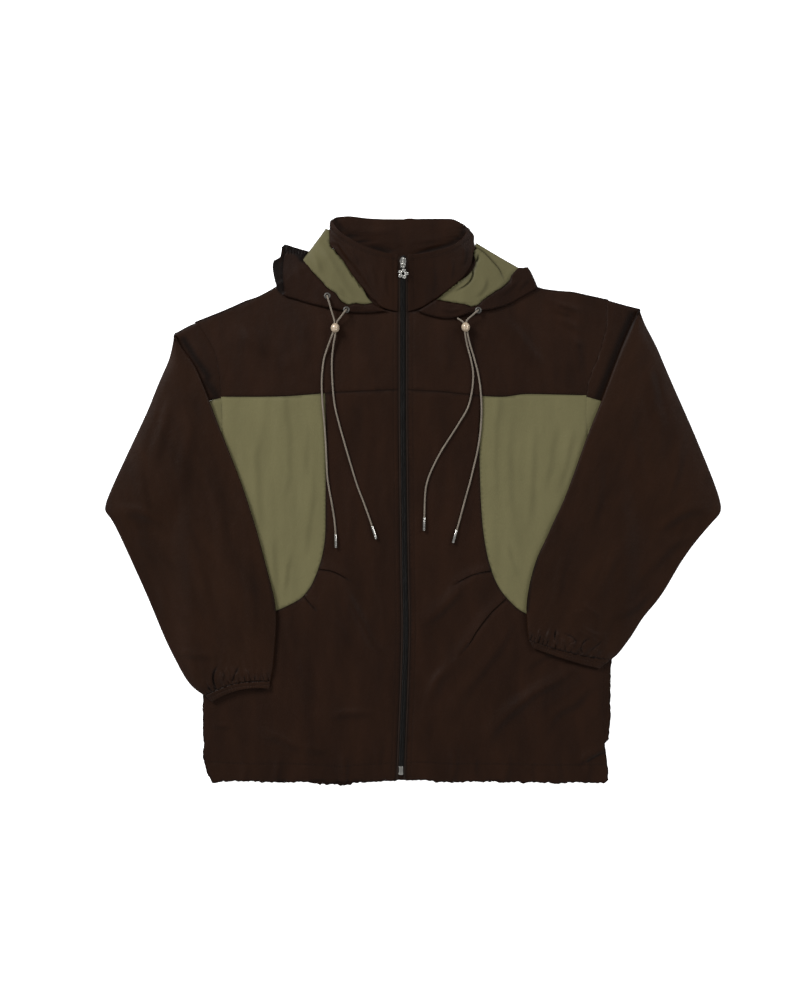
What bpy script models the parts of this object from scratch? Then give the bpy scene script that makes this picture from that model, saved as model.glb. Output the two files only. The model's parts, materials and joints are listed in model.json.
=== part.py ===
"""A light hooded windbreaker laid flat on its back, zip closed, both sleeves folded over the front.

Every length is in millimetres and is turned into metres when a mesh is made. +X runs across the
laid jacket, +Y towards the collar and +Z up from the surface that it lies on. The origin is on
that surface, under the middle of the whole outline. "left" and "right" are as seen from above.
"""

import math

import bmesh
import bpy
import numpy as np
from mathutils import Matrix, Vector
from mathutils.geometry import delaunay_2d_cdt

MM = 0.001

# Cloth and its layers
WALL = 1.2  # one panel with its seam allowances
LATTICE = 46  # between the inner points of a panel; layers share them, which keeps their gaps
SLEEVE_WALL = 1.8
COLLAR_WALL = 2.0
SEAM = 0.3  # gap between neighbouring pieces
LAYER_GAP = 0.6
AIR_EDGE, AIR_MIDDLE, AIR_REACH = 0.5, 1.6, 70  # gap between back and front, edge to middle
SLEEVE_CLEAR = 1.2  # sleeve above the layer that it lies on
HOOD_CLEAR = 0.7

# Lines and meshes
OUTLINE_STEP, HOOD_LINE_STEP, COLLAR_LINE_STEP = 24.0, 9, 6
SAME_POINT = 0.05
SHARPEST_LEAN = 0.4  # keeps an inset corner from running far along its spike
FOLD_STEP, FOLD_ROOM, GUIDE_ROOM = 22, 4.5, 4.0
LATTICE_ROOM, LATTICE_MARGIN = 0.6, 0.5  # a lattice point from others and from the edge, in spacings
FOLD_END, FOLD_END_HEIGHT = 0.3, 0.35  # a fold's end slope, as a share of its length and of its rise
SHARP_ANGLE = 35

# Hood pouch, folded flat under the upper back
POUCH_RIM, POUCH_RISE, POUCH_SLOPE, POUCH_SKIRT = 0.7, 3.0, 70, 42
POUCH_RING = 26  # its rows of extra points, from its edge
LINING_THICK, FACING_THICK = 2.4, 3.2
HOOD_LATTICE = 15.0
HOOD_STEP, HOOD_FALL = 12, 34  # the hood's drop past the shoulder, below and above
HOOD_STEP_ROWS = (0.5, 3, HOOD_STEP + 2)
HOOD_RIM, HOOD_THINNED = 0.8, 0.7

# Sleeve, folded along shoulder to elbow
SLEEVE_THICK, SLEEVE_EDGE, SLEEVE_ROUND = 7.2, 4.2, 0.7
FOLD_SET_BACK, FOLD_FOOT = 9.3, 8.0  # unfolded part, and the fold's foot, from the fold line
FULL_WIDTH = 30  # a sleeve section narrower than this scales its rounded edges down
SLEEVE_SPREAD = (12, 45)  # where a sleeve leaves an edge under it, and where it is down
EDGE_POINTS = (0.0, 1.0, 3.2)  # across a rounded edge, from the outermost
EDGE_FALL, NEXT_FALL, UNDER_RISE = 0.5, 0.16, 0.12  # their fall from the top and rise from below
FOLD_REACH, FOLD_DROP = 14, 0.3  # how far from the fold its top falls, and by what share
FOLD_POINTS = (1.0, 2.6, FOLD_FOOT, FOLD_FOOT + 0.6)  # below the fold, from the fold line
CAVITY_ROW, ELBOW_ROW = 2, 7
CAVITY_EDGE, CAVITY_FOLD, CAVITY_SHUT = 2.4, 10.5, 0.35
BOTTOM_STEPS = 6
GATHER_HEIGHT, GATHER_HALF, GATHER_FADE = 1.3, 0.04, 38
CUFF_THICK, CUFF_WALL, CUFF_START = 5.6, 1.5, 0.07
CUFF_EDGE, CUFF_ROUND, CUFF_INSET, CUFF_AIR = 0.3, 0.4, 0.03, 0.2
CUFF_COLUMNS = 12

# Zip
TAPE_OUT, TAPE_IN, TAPE_THICK = 6.1, 3.5, 1.0
CHAIN_HALF, CHAIN_RISE = 3.2, 1.2
OPENING = TAPE_OUT + SEAM  # a front edge from the zip's centre line
ZIP_TOP_Y, ZIP_END_Y = 326.0, -377.0
BOX_SIZE, BOX_ROUND = (5.8, 11.5, 2.8), 0.7
BOX_X, BOX_TOP_Y = -16.8, -358.0

# Slider, ring and flower, built level and then tilted with the collar
SLIDER_Y = 317.5
PLATE_SIZE, PLATE_BEHIND, PLATE_ROUND = (9.6, 10.6, 1.4), 7.5, 0.6
PIVOT_ABOVE_CHAIN = 2.8
BRIDGE_INNER, BRIDGE_OUTER, BRIDGE_WIDE, BRIDGE_SUNK = 1.1, 2.2, 1.6, 0.5
BRIDGE_STEPS = 12
WIRE_SIDES = 6
RING_MAJOR, RING_WIRE, RING_SEGMENTS = 2.75, 0.6, 20
BAIL_MAJOR, BAIL_WIRE, BAIL_SEGMENTS = 1.5, 0.45, 14
FLOWER_RADIUS, FLOWER_THICK, FLOWER_HOLE = 7.2, 1.6, 1.5
FLOWER_WAIST, PETAL_ROUND, FLOWER_POINTS = 0.66, 0.55, 40
FLOWER_FROM_AXIS, FLOWER_DIP, PETALS = 8.6, 6.0, 5

# Drawcord
CORD = 2.3
TIP_RADIUS, TIP_LENGTH, TIP_CHAMFER, TIP_SIDES = 1.9, 17.0, 0.3, 12
CORD_STEP = 3 * CORD
BEAD_RADIUS, BEAD_SEGMENTS, BEAD_RINGS = 6.5, 18, 10
STRAND_APART = 2.9  # the two strands in a bead's bore, centre to centre
BORE_ROOM, BORE_SIDES = 0.55, 16
EYELET_HOLE, EYELET_RIM, EYELET_RISE, EYELET_SEGMENTS = 2.1, 4.2, 1.0, 16
EYELET_OUTER_RISE, EYELET_INNER_RISE = 0.35, 0.7  # shares of its full rise

# Seams and edges: x, y
SHOULDER_LEFT = [(-112, 331), (-153, 309), (-198, 281.5), (-244, 260), (-267, 250.5), (-291, 241)]
SHOULDER_RIGHT = [(84, 331), (128, 307), (171, 287), (217, 281.5), (238, 276), (258, 271.5)]
ARMHOLE_LEFT = [(-291, 241), (-271, 210), (-262, 183), (-258, 140), (-257, 95), (-268, 61), (-287, 34)]
ARMHOLE_RIGHT = [(258, 271.5), (258.5, 237), (248, 196), (237, 169), (231.5, 142), (233, 95), (245, 57), (267, 34)]
SIDE_LEFT = [(-287, 34), (-285, -80), (-284, -188), (-284, -265), (-284, -310), (-283, -330)]
VENT_LEFT = [(-283, -330), (-284, -342), (-281, -358), (-276.5, -371), (-268, -379.5)]
SIDE_RIGHT = [(267, 34), (267, -80), (267.5, -188), (266, -242), (265.5, -269), (266, -296), (263.5, -314)]
VENT_RIGHT = [(263.5, -314), (258, -328), (260.5, -340), (262, -366), (261.5, -376.5), (256, -380.5)]
HEM_LEFT = [(-268, -379.5), (-221, -378.8), (-164, -380), (-126, -382), (-98, -384), (-72, -381), (-23.6, -377.5)]
HEM_RIGHT = [(-10.8, -377.5), (18, -377.5), (49, -380), (99, -379), (178, -381), (256, -380.5)]
NECK_LEFT = [(-20.6, 254), (-34, 255.5), (-55, 266), (-79, 292), (-92, 311), (-103, 326), (-112, 331)]
NECK_RIGHT = [(-7.8, 254), (5, 255.5), (30, 270.5), (56, 289.5), (74, 304.5), (81, 318), (84, 331)]
NECK_BACK = [(-112, 331), (-92, 322), (-59, 313), (-14, 310), (30, 313), (64, 322), (84, 331)]
YOKE_LEFT = [(-258, 140), (-203, 140), (-165, 141), (-119, 144.5), (-72, 147), (-20.6, 149)]
YOKE_RIGHT = [(-7.8, 149), (42, 146), (92, 141), (123, 140), (150, 143.5), (191, 143), (231.5, 142)]
CHEST_LEFT = [(-119, 144.5), (-118, 82), (-118.5, 1), (-119.5, -53), (-127.5, -90), (-140, -118), (-152, -132),
              (-172, -143), (-190, -150.5), (-234, -160), (-284.8, -167)]
CHEST_RIGHT = [(92, 141), (89, 95), (89, 55), (91, -5), (95, -49), (103, -88), (115, -117), (132, -138),
               (153, -153), (198, -165), (267, -173)]
ZIP_LINE = [(-14.2, 327), (-14.2, 254), (-14.2, 149), (-14, 95), (-12.6, -26), (-11.5, -111), (-10.4, -163),
            (-11.2, -209), (-13, -267), (-15.3, -323), (-17, -369), (-17.2, -377.5)]
POUCH = [(-153, 288), (-113, 316), (-60, 303), (-14, 299), (32, 303), (83, 316), (146, 281), (154, 217),
         (137, 136), (101, 84), (-14, 65), (-129, 84), (-165, 136), (-180, 217)]

# Hood beside the collar: x, y
LINING_OUT_LEFT = [(-119.5, 366), (-130, 351), (-141, 336)]
LINING_SIDE_LEFT = [(-141, 336), (-151, 322.5)]
LINING_IN_LEFT = [(-151, 322.5), (-137, 307), (-118, 288), (-105, 279.5), (-83, 267.5), (-67, 264), (-55, 266)]
LINING_NECK_LEFT = [(-55, 266), (-79, 292), (-92, 311), (-104, 326), (-115.5, 340), (-116, 355), (-119.5, 366)]
FACING_END_LEFT = [(-141, 336), (-161, 342), (-174, 346), (-178, 342), (-180, 329), (-189, 324),
                   (-190.5, 316), (-188, 300), (-183, 283)]
FACING_OUT_LEFT = [(-183, 283), (-173, 275), (-157, 270), (-141, 265), (-115, 259), (-99, 256), (-83, 253),
                   (-59, 252.5), (-34, 254.5)]
FACING_NECK_LEFT = [(-34, 254.5), (-44, 259.5), (-55, 266)]
LINING_OUT_RIGHT = [(87, 346), (117, 328), (144, 312.5)]
LINING_IN_RIGHT = [(144, 312.5), (121, 290), (105, 278), (88, 267), (71, 264), (49, 267), (30, 270.5)]
LINING_NECK_RIGHT = [(30, 270.5), (56, 289.5), (74, 304.5), (82, 315), (85.5, 330), (87, 346)]
FACING_END_RIGHT = [(144, 312.5), (154, 315), (158, 309), (163, 298), (168, 285.5)]
FACING_OUT_RIGHT = [(168, 285.5), (146, 273.5), (128, 263.5), (106, 257), (88, 254), (58, 246), (39, 245),
                    (20, 249), (5, 254.5)]
FACING_NECK_RIGHT = [(5, 254.5), (18, 263), (30, 270.5)]

# Collar: half of the seam and of the top edge from the zip outwards, and the two folds
COLLAR_SEAM_LEFT = [(-20.8, 254.6), (-34, 256.2), (-54.6, 267), (-78, 292.4), (-91, 311.5), (-101, 327), (-111, 339)]
COLLAR_SEAM_RIGHT = [(-7.6, 254.6), (5, 256.2), (29, 271), (55, 290.2), (72, 305.5), (78, 318), (81.5, 338)]
COLLAR_TOP_LEFT = [(-20.7, 327.8), (-38, 331.5), (-63, 339.5), (-86, 351.5), (-101, 363), (-110.5, 377)]
COLLAR_TOP_RIGHT = [(-7.7, 327.8), (11, 330), (36, 335.5), (54, 342.5), (67, 353), (74, 366)]
COLLAR_BACK_SEAM = [(-111, 339), (-92, 327.3), (-59, 316.3), (-14, 311.9), (30, 316.3), (64, 327), (81.5, 338)]
COLLAR_BACK_TOP = [(-110.5, 381.5), (-97, 384.6), (-62, 380.5), (-30, 379.3), (20, 380), (56, 379.5), (74, 369)]
NECK_STEP = 9
COLLAR_RISE, COLLAR_SIDE = 25.0, 4.4  # height of the front's top edge at the zip and at the side folds
COLLAR_ARCH, COLLAR_LEVEL = 2.4, 0.375  # how the edge falls off sideways, and where the seam starts to
COLLAR_RIBS, COLLAR_BACK_RIBS, COLLAR_STEPS = 7, 9, 4

# Sleeves, a row for each section from the shoulder point to the cuff seam:
# x and y of the inner edge, x and y of the outer edge, how far the section bows to the shoulder
SLEEVE_LEFT = [
    (-320.5, 221.5, -323.3, 220.0, 0), (-311.2, 204.5, -328.3, 194.5, 0), (-297.7, 187.0, -336.2, 174.8, 0),
    (-285.5, 161.3, -347.2, 149.2, 0), (-274.7, 134.3, -358.4, 122.2, 0), (-254.5, 81.7, -381.4, 72.2, 0),
    (-233.6, 27.7, -405.7, 18.2, 0), (-222.1, -6.1, -416.5, -10.1, 0), (-211.3, -39.8, -409.7, -21.5, 0),
    (-204.5, -64.1, -398.9, -40.0, 0), (-195.1, -100.6, -378.7, -85.7, 1), (-185.6, -141.1, -355.7, -137.0, 2),
    (-185.0, -177.5, -336.8, -182.9, 4), (-187.0, -204.5, -320.6, -215.3, 5), (-188.3, -220.7, -307.1, -239.6, 6),
    (-190.3, -232.9, -293.6, -254.5, 7), (-192.4, -242.3, -281.5, -262.6, 8),
]
SLEEVE_RIGHT = [
    (301.7, 255.8, 305.5, 255.0, 0), (289.6, 228.8, 314.0, 233.5, 0), (274.7, 192.4, 326.2, 210.5, 0),
    (261.2, 155.9, 338.2, 182.2, 0), (249.1, 124.9, 350.4, 155.2, 0), (232.9, 84.4, 372.0, 105.2, 0),
    (214.0, 30.4, 396.3, 47.2, 0), (200.5, -3.4, 416.5, -8.8, 0), (188.3, -29.0, 406.7, -24.2, 0),
    (177.5, -53.3, 385.1, -50.2, 0), (164.0, -83.0, 360.9, -82.8, 0), (154.6, -120.8, 335.2, -127.3, 0),
    (151.9, -145.1, 312.3, -154.3, -1), (152.6, -164.0, 297.4, -177.3, -2), (153.2, -174.8, 283.8, -196.0, -3),
    (153.9, -181.6, 274.2, -207.9, -3), (154.6, -187.0, 266.0, -214.0, -3),
]
CUFF_LEFT = (-193.7, -253.1, -272.0, -271.5, 8)  # the cuff's open edge, in the same columns
CUFF_RIGHT = (159.3, -197.1, 251.8, -225.4, -2)
SLEEVE_SEAM_SLOPE = 0.32  # the colour seam across a sleeve runs down by this away from the body

# Gathers across each cuff: place along it, share of the full height
GATHERS = [(0.06, 0.7), (0.13, 0.8), (0.21, 0.7), (0.30, 1.0), (0.38, 0.8), (0.48, 1.0), (0.57, 0.9),
           (0.67, 1.3), (0.79, 1.6), (0.91, 1.2)]

# Columns of points across a sleeve: on each gather, and halfway to the next
COLUMNS = sorted([a[0] for a in GATHERS] + [(a[0] + b[0]) / 2 for a, b in zip(GATHERS, GATHERS[1:])])

# Largest folds of the fronts: x and y of each end, half width, height
FOLDS_LEFT = [
    (-124, -92, -36, -216, 17, 2.6), (-148, -124, -84, -204, 14, 2.2), (-52, -150, -30, -262, 16, 1.6),
    (-212, -306, -142, -338, 16, 1.6), (-112, -286, -58, -292, 13, 1.2), (-98, -376, -88, -318, 16, 1.8),
    (-184, -372, -176, -330, 14, 1.2),
]
FOLDS_RIGHT = [
    (100, -92, 8, -166, 16, 2.6), (126, -138, 26, -256, 17, 3.0), (26, -256, 6, -330, 14, 2.0),
    (238, -222, 122, -292, 18, 3.0), (122, -292, 84, -336, 15, 2.0), (52, -374, 60, -326, 14, 1.2),
    (196, -372, 184, -330, 15, 1.2),
]
FOLDS_YOKE_RIGHT = [(178, 274, 226, 250, 12, 1.8), (120, 240, 176, 176, 16, 1.2)]
FOLDS_YOKE_LEFT = [(-240, 232, -196, 206, 13, 1.4), (-176, 196, -140, 168, 15, 1.0)]

# Drawcord: x, y and turn of each bead, x and y of each eyelet
BEADS = {"left": (-105.3, 233.1, -8), "right": (69.9, 233.7, 5)}
EYELETS = {"left_outer": (-116.1, 275.3), "left_inner": (-90.2, 256.6), "right": (87.1, 255.8)}

# Each strand from its eyelet, or from under the facing, to its tip: x, y, z of its middle
STRANDS = {
    "left_outer": [
        (-116.1, 275.3, 11.3), (-115.8, 274.2, 13.2), (-115.2, 272.2, 14.9), (-114.3, 269.0, 16.0),
        (-112.7, 263.5, 16.4), (-110.0, 254.5, 16.2), (-107.2, 245.0, 15.3), (-106.0, 239.6, 15.0),
        (-106.7, 233.3, 14.9), (-107.7, 226.8, 14.8), (-110.6, 219.0, 14.0), (-114.4, 209.0, 12.0),
        (-118.0, 199.0, 10.3), (-120.6, 189.7, 9.6), (-122.8, 173.0, 9.2), (-123.5, 154.6, 9.0),
        (-122.4, 130.0, 8.5), (-120.0, 103.0, 7.6), (-118.3, 77.6, 6.8), (-117.2, 54.0, 6.2),
        (-116.0, 31.7, 5.8), (-113.4, 14.0, 5.6), (-110.2, -3.4, 5.6), (-106.9, -24.0, 5.6),
        (-105.4, -38.0, 5.8), (-105.0, -46.7, 6.2),
    ],
    "left_inner": [
        (-90.2, 256.6, 12.7), (-90.9, 255.6, 14.6), (-92.1, 254.0, 16.2), (-94.0, 251.4, 17.0),
        (-97.3, 247.0, 16.8), (-100.4, 243.2, 15.8), (-102.8, 239.6, 15.1), (-103.9, 233.0, 14.9),
        (-104.7, 226.8, 14.8), (-105.8, 219.0, 14.1), (-107.3, 211.0, 12.4), (-108.6, 202.0, 10.7),
        (-109.6, 191.0, 9.9), (-109.8, 176.0, 9.7), (-108.8, 154.6, 9.6), (-106.0, 128.0, 9.1),
        (-99.8, 101.9, 7.9), (-91.4, 72.0, 6.9), (-82.8, 42.5, 6.1), (-75.4, 19.0, 5.7),
        (-66.8, -3.4, 5.6), (-60.8, -20.0, 5.7), (-56.8, -31.5, 6.0), (-55.5, -35.5, 6.2),
    ],
    "right_inner": [
        (59.2, 243.9, 10.2), (61.6, 243.1, 11.3), (64.0, 242.4, 12.8), (66.2, 241.4, 14.2),
        (67.7, 239.8, 15.0), (68.5, 233.6, 15.1), (69.0, 227.5, 15.0), (69.8, 220.0, 14.2),
        (71.8, 210.0, 12.2), (74.6, 199.5, 10.5), (77.2, 189.7, 9.9), (79.6, 177.5, 9.7),
        (80.3, 165.4, 9.6), (78.4, 146.0, 9.6), (73.0, 124.9, 9.0), (62.3, 106.0, 8.1),
        (50.4, 87.1, 7.4), (38.2, 68.0, 6.9), (28.2, 49.3, 6.3), (21.0, 33.0, 5.8),
        (16.6, 16.9, 5.6), (15.2, -2.0, 5.6), (14.9, -14.0, 5.8), (14.6, -23.9, 6.2),
    ],
    "right_outer": [
        (87.1, 255.8, 12.9), (86.2, 255.0, 14.8), (84.7, 253.7, 16.5), (82.2, 251.5, 17.3),
        (78.1, 247.9, 17.1), (73.6, 244.1, 16.2), (70.9, 240.2, 15.4), (71.3, 233.8, 15.1),
        (71.9, 227.6, 15.0), (73.6, 219.0, 14.0), (76.5, 208.0, 12.0), (79.6, 198.0, 10.5),
        (82.4, 188.5, 9.9), (87.0, 170.0, 9.4), (90.3, 147.8, 9.1), (91.6, 121.0, 8.3),
        (90.3, 95.2, 7.3), (86.4, 68.0, 6.7), (80.5, 42.5, 5.9), (75.9, 24.0, 5.6),
        (71.2, 7.4, 5.6), (66.2, -11.0, 5.6), (61.4, -29.0, 5.9), (57.9, -40.9, 6.2),
    ],
}

FINISH = {  # colour, roughness, metallic
    "dark_nylon": ((0.022, 0.012, 0.009), 0.55, 0.0),
    "sleeve_nylon": ((0.030, 0.015, 0.010), 0.55, 0.0),
    "olive_nylon": ((0.165, 0.145, 0.075), 0.60, 0.0),
    "zip_tape": ((0.035, 0.022, 0.018), 0.75, 0.0),
    "zip_coil": ((0.010, 0.014, 0.012), 0.45, 0.0),
    "silver": ((0.62, 0.61, 0.58), 0.25, 1.0),
    "grey_metal": ((0.35, 0.35, 0.34), 0.35, 1.0),
    "cord": ((0.42, 0.36, 0.28), 0.80, 0.0),
}


def clear_scene():
    for obj in list(bpy.data.objects):
        bpy.data.objects.remove(obj, do_unlink=True)


def smooth(t):
    t = min(1.0, max(0.0, t))
    return t * t * (3 - 2 * t)


# Lines and outlines


def curve(points, step=OUTLINE_STEP):
    """A smooth line through the points, its own points at most a step apart."""
    points = [Vector(p) for p in points]
    ends = [2 * points[0] - points[1]] + points + [2 * points[-1] - points[-2]]
    line = [points[0]]
    for a, b, c, d in zip(ends, ends[1:], ends[2:], ends[3:]):
        count = max(1, math.ceil((c - b).length / step))
        for k in range(1, count + 1):
            t = k / count
            line.append(
                0.5 * (2 * b + (c - a) * t + (2 * a - 5 * b + 4 * c - d) * t**2
                       + (3 * b - a - 3 * c + d) * t**3)
            )
    return line


def evenly(line, count):
    """So many points along a line, equally far apart."""
    lengths = [0.0]
    for a, b in zip(line, line[1:]):
        lengths.append(lengths[-1] + (b - a).length)
    found = []
    for k in range(count):
        at = lengths[-1] * k / (count - 1)
        i = next((j - 1 for j in range(1, len(line)) if lengths[j] >= at), len(line) - 2)
        share = (at - lengths[i]) / (lengths[i + 1] - lengths[i])
        found.append(line[i].lerp(line[i + 1], min(1, share)))
    return found


def loop_of(*lines):
    """Lines end to end as one closed loop, anticlockwise, with no point twice."""
    loop = []
    for line in lines:
        for point in line:
            if not loop or (point - loop[-1]).length > SAME_POINT:
                loop.append(point)
    if (loop[0] - loop[-1]).length < SAME_POINT:
        loop.pop()
    area = sum(a.x * b.y - b.x * a.y for a, b in zip(loop, loop[1:] + loop[:1]))
    return loop if area > 0 else loop[::-1]


def drawn_in(loop, by):
    """The loop moved inwards."""
    moved = []
    for before, here, after in zip(loop[-1:] + loop[:-1], loop, loop[1:] + loop[:1]):
        first, second = (here - before).normalized(), (after - here).normalized()
        normal = Vector((-first.y - second.y, first.x + second.x))
        normal.normalize()
        lean = max(SHARPEST_LEAN, normal.dot(Vector((-first.y, first.x))))
        moved.append(here + normal * (by / lean))
    return moved


class Outline:
    """A closed loop that tells how deep a place is inside it; outside, the depth is below zero."""

    def __init__(self, loop):
        self.start = np.array([p[:2] for p in loop])
        self.end = np.roll(self.start, -1, axis=0)

    def depth(self, x, y):
        run = self.end - self.start
        to_place = np.array((x, y)) - self.start
        share = np.clip((to_place * run).sum(1) / (run * run).sum(1), 0, 1)
        distance = np.sqrt(((to_place - run * share[:, None]) ** 2).sum(1).min())
        y0, y1 = self.start[:, 1], self.end[:, 1]
        spans = (y0 > y) != (y1 > y)
        crossing = self.start[spans, 0] + (y - y0[spans]) / (y1[spans] - y0[spans]) * run[spans, 0]
        inside = (crossing > x).sum() % 2
        return float(distance if inside else -distance)


def zip_side(side):
    """The front edge on one side of the zip, from the neck to the hem."""
    line = curve(ZIP_LINE, 40)
    edge = []
    for i, here in enumerate(line):
        along = line[min(i + 1, len(line) - 1)] - line[max(i - 1, 0)]
        edge.append(here + Vector((-along.y, along.x)).normalized() * side * OPENING)
    return edge


def between(line, low, high):
    """The part of a line with y from high down to low, its ends cut there."""
    found = []
    for a, b in zip(line, line[1:]):
        for y in (high, low):
            if (a.y - y) * (b.y - y) < 0:
                found.append(a.lerp(b, (y - a.y) / (b.y - a.y)))
        if low <= b.y <= high:
            found.append(b)
    if low <= line[0].y <= high:
        found.insert(0, line[0])
    return sorted(found, key=lambda p: -p.y)


def section_point(row, share, back=0.0):
    """A place across a sleeve section, from its inner edge (0) to its outer edge (1)."""
    inner, outer = Vector(row[0:2]), Vector(row[2:4])
    run = outer - inner
    to_shoulder = Vector((-run.y, run.x)).normalized()
    if to_shoulder.y < 0:
        to_shoulder = -to_shoulder
    return inner.lerp(outer, share) + to_shoulder * (4 * share * (1 - share) * row[4] + back)


def fold_line(rows):
    """The unfolded sleeve's edge, set back from the fold as far down as the elbow."""
    line = []
    for row in rows[1 : ELBOW_ROW + 1]:
        width = (Vector(row[0:2]) - Vector(row[2:4])).length
        line.append(section_point(row, 1 - FOLD_SET_BACK * min(1, width / FULL_WIDTH) / width))
    return line


# Heights of the layers


def head_loop(shoulder_end, tip, rows, armhole):
    return loop_of([shoulder_end, tip], fold_line(rows), curve(armhole)[::-1])


HEAD_TIP_LEFT, HEAD_TIP_RIGHT = Vector((-317.5, 230.0)), Vector((300.5, 259.5))
LOWER = Outline(
    loop_of(
        curve(SHOULDER_LEFT), [HEAD_TIP_LEFT], fold_line(SLEEVE_LEFT),
        curve(SIDE_LEFT), curve(VENT_LEFT), curve(HEM_LEFT), curve(HEM_RIGHT),
        curve(VENT_RIGHT)[::-1], curve(SIDE_RIGHT)[::-1], fold_line(SLEEVE_RIGHT)[::-1],
        [HEAD_TIP_RIGHT], curve(SHOULDER_RIGHT)[::-1], curve(NECK_BACK, NECK_STEP)[::-1],
    )
)
POUCH_LOOP = loop_of(curve(POUCH + POUCH[:1]))
POUCH_EDGE = Outline(POUCH_LOOP)


def pouch_top(x, y):
    return POUCH_RIM + POUCH_RISE * smooth(POUCH_EDGE.depth(x, y) / POUCH_SLOPE)


def back_under(x, y):
    depth = POUCH_EDGE.depth(x, y)
    if depth > 0:
        return pouch_top(x, y) + LAYER_GAP
    return (POUCH_RIM + LAYER_GAP) * smooth(1 + depth / POUCH_SKIRT)


def front_under(x, y):
    air = AIR_EDGE + (AIR_MIDDLE - AIR_EDGE) * smooth(LOWER.depth(x, y) / AIR_REACH)
    return back_under(x, y) + WALL + air


def front_top(x, y):
    return front_under(x, y) + WALL


def fold_height(folds, x, y):
    """How far the folds lift the cloth here."""
    lift = 0.0
    for x0, y0, x1, y1, half, height in folds:
        run = Vector((x1 - x0, y1 - y0))
        share = (Vector((x, y)) - Vector((x0, y0))).dot(run) / run.length_squared
        nearest = Vector((x0, y0)) + run * min(1, max(0, share))
        away = (Vector((x, y)) - nearest).length / half
        ends = smooth(min(share, 1 - share) / FOLD_END + FOLD_END_HEIGHT)
        if away < 1:
            lift = max(lift, height * ends * (0.5 + 0.5 * math.cos(math.pi * away)))
    return lift


def past_edge(x, y, start, end):
    """1 over the lower layer and just past its edge, 0 well past it."""
    return 1 - smooth((-LOWER.depth(x, y) - start) / (end - start))


def sleeve_under(x, y):
    return past_edge(x, y, *SLEEVE_SPREAD) * (front_top(x, y) + SLEEVE_CLEAR)


def hood_under(x, y):
    return past_edge(x, y, 2, HOOD_STEP) * (front_top(x, y) + HOOD_CLEAR)


def hood_top(thick):
    def height(x, y):
        lifted = past_edge(x, y, 0, HOOD_FALL)
        thinned = HOOD_THINNED + (1 - HOOD_THINNED) * lifted
        return lifted * (front_top(x, y) + HOOD_CLEAR) + thick * thinned + HOOD_RIM * (1 - lifted)

    return height


# Meshes


def new_object(name, mesh_data, finish):
    """An object named as its mesh, in metres, with a material of its own."""
    mesh = bpy.data.meshes.new(name)
    bmesh.ops.scale(mesh_data, vec=(MM, MM, MM), verts=mesh_data.verts)
    mesh_data.to_mesh(mesh)
    mesh_data.free()
    obj = bpy.data.objects.new(name, mesh)
    bpy.context.scene.collection.objects.link(obj)
    dress(obj, finish)
    return obj


def dress(obj, finish):
    colour, roughness, metallic = FINISH[finish]
    material = bpy.data.materials.new(f"{obj.name}_{finish}")
    material.use_nodes = True
    shader = material.node_tree.nodes["Principled BSDF"]
    shader.inputs["Base Color"].default_value = (*colour, 1)
    shader.inputs["Roughness"].default_value = roughness
    shader.inputs["Metallic"].default_value = metallic
    material.diffuse_color = (*colour, 1)
    obj.data.materials.clear()
    obj.data.materials.append(material)
    if obj.type == "MESH":
        obj.data.shade_smooth()
        obj.data.set_sharp_from_angle(angle=math.radians(SHARP_ANGLE))


def panel(name, loop, under, top, finish, spacing=LATTICE, folds=(), guides=()):
    """A laid panel: its outline filled with triangles, a lower and an upper face, and its edge."""
    edge = drawn_in(loop, SEAM / 2)
    outline = Outline(edge)
    inner = []
    for x0, y0, x1, y1, half, _ in folds:
        run = Vector((x1 - x0, y1 - y0))
        side = Vector((-run.y, run.x)).normalized() * half
        steps = max(2, round(run.length / FOLD_STEP))
        for k in range(steps + 1):
            for across in (-1, -0.5, 0, 0.5, 1):
                inner.append((Vector((x0, y0)) + run * k / steps + side * across, FOLD_ROOM))
    for guide in guides:
        inner += [(point, GUIDE_ROOM) for point in guide]
    low, high = outline.start.min(axis=0), outline.start.max(axis=0)
    row_step = spacing * math.sqrt(3) / 2
    for j in range(math.floor(low[1] / row_step), math.ceil(high[1] / row_step) + 1):
        for i in range(math.floor(low[0] / spacing), math.ceil(high[0] / spacing) + 2):
            place = Vector(((i - 0.5 * (j % 2)) * spacing, j * row_step))
            inner.append((place, spacing * LATTICE_ROOM))
    points = list(edge)
    for place, room in inner:
        if outline.depth(place.x, place.y) < min(room, spacing * LATTICE_MARGIN):
            continue
        if min((place - other).length for other in points) > room:
            points.append(place)
    ring = [(i, (i + 1) % len(edge)) for i in range(len(edge))]
    flat, _, faces, *_ = delaunay_2d_cdt(points, ring, [], 1, 1e-6)
    mesh_data = bmesh.new()
    lower = [mesh_data.verts.new((p.x, p.y, under(p.x, p.y))) for p in flat]
    upper = [mesh_data.verts.new((p.x, p.y, top(p.x, p.y))) for p in flat]
    used = {}
    for face in faces:
        a, b, c = (flat[i] for i in face)
        if (b - a).cross(c - a) < 0:
            face = face[::-1]
        mesh_data.faces.new([upper[i] for i in face])
        mesh_data.faces.new([lower[i] for i in face[::-1]])
        for pair in zip(face, face[1:] + face[:1]):
            used[pair] = True
    for i, j in used:
        if (j, i) not in used:
            mesh_data.faces.new([upper[j], upper[i], lower[i], lower[j]])
    loose = [v for v in mesh_data.verts if not v.link_faces]
    bmesh.ops.delete(mesh_data, geom=loose, context="VERTS")
    return new_object(name, mesh_data, finish)


def cloth(name, loop, under, finish, wall=WALL, folds=(), **options):
    """A panel of even thickness, lifted by its folds."""

    def lower(x, y):
        return under(x, y) + fold_height(folds, x, y)

    def upper(x, y):
        return lower(x, y) + wall

    return panel(name, loop, lower, upper, finish, folds=folds, **options)


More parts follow.
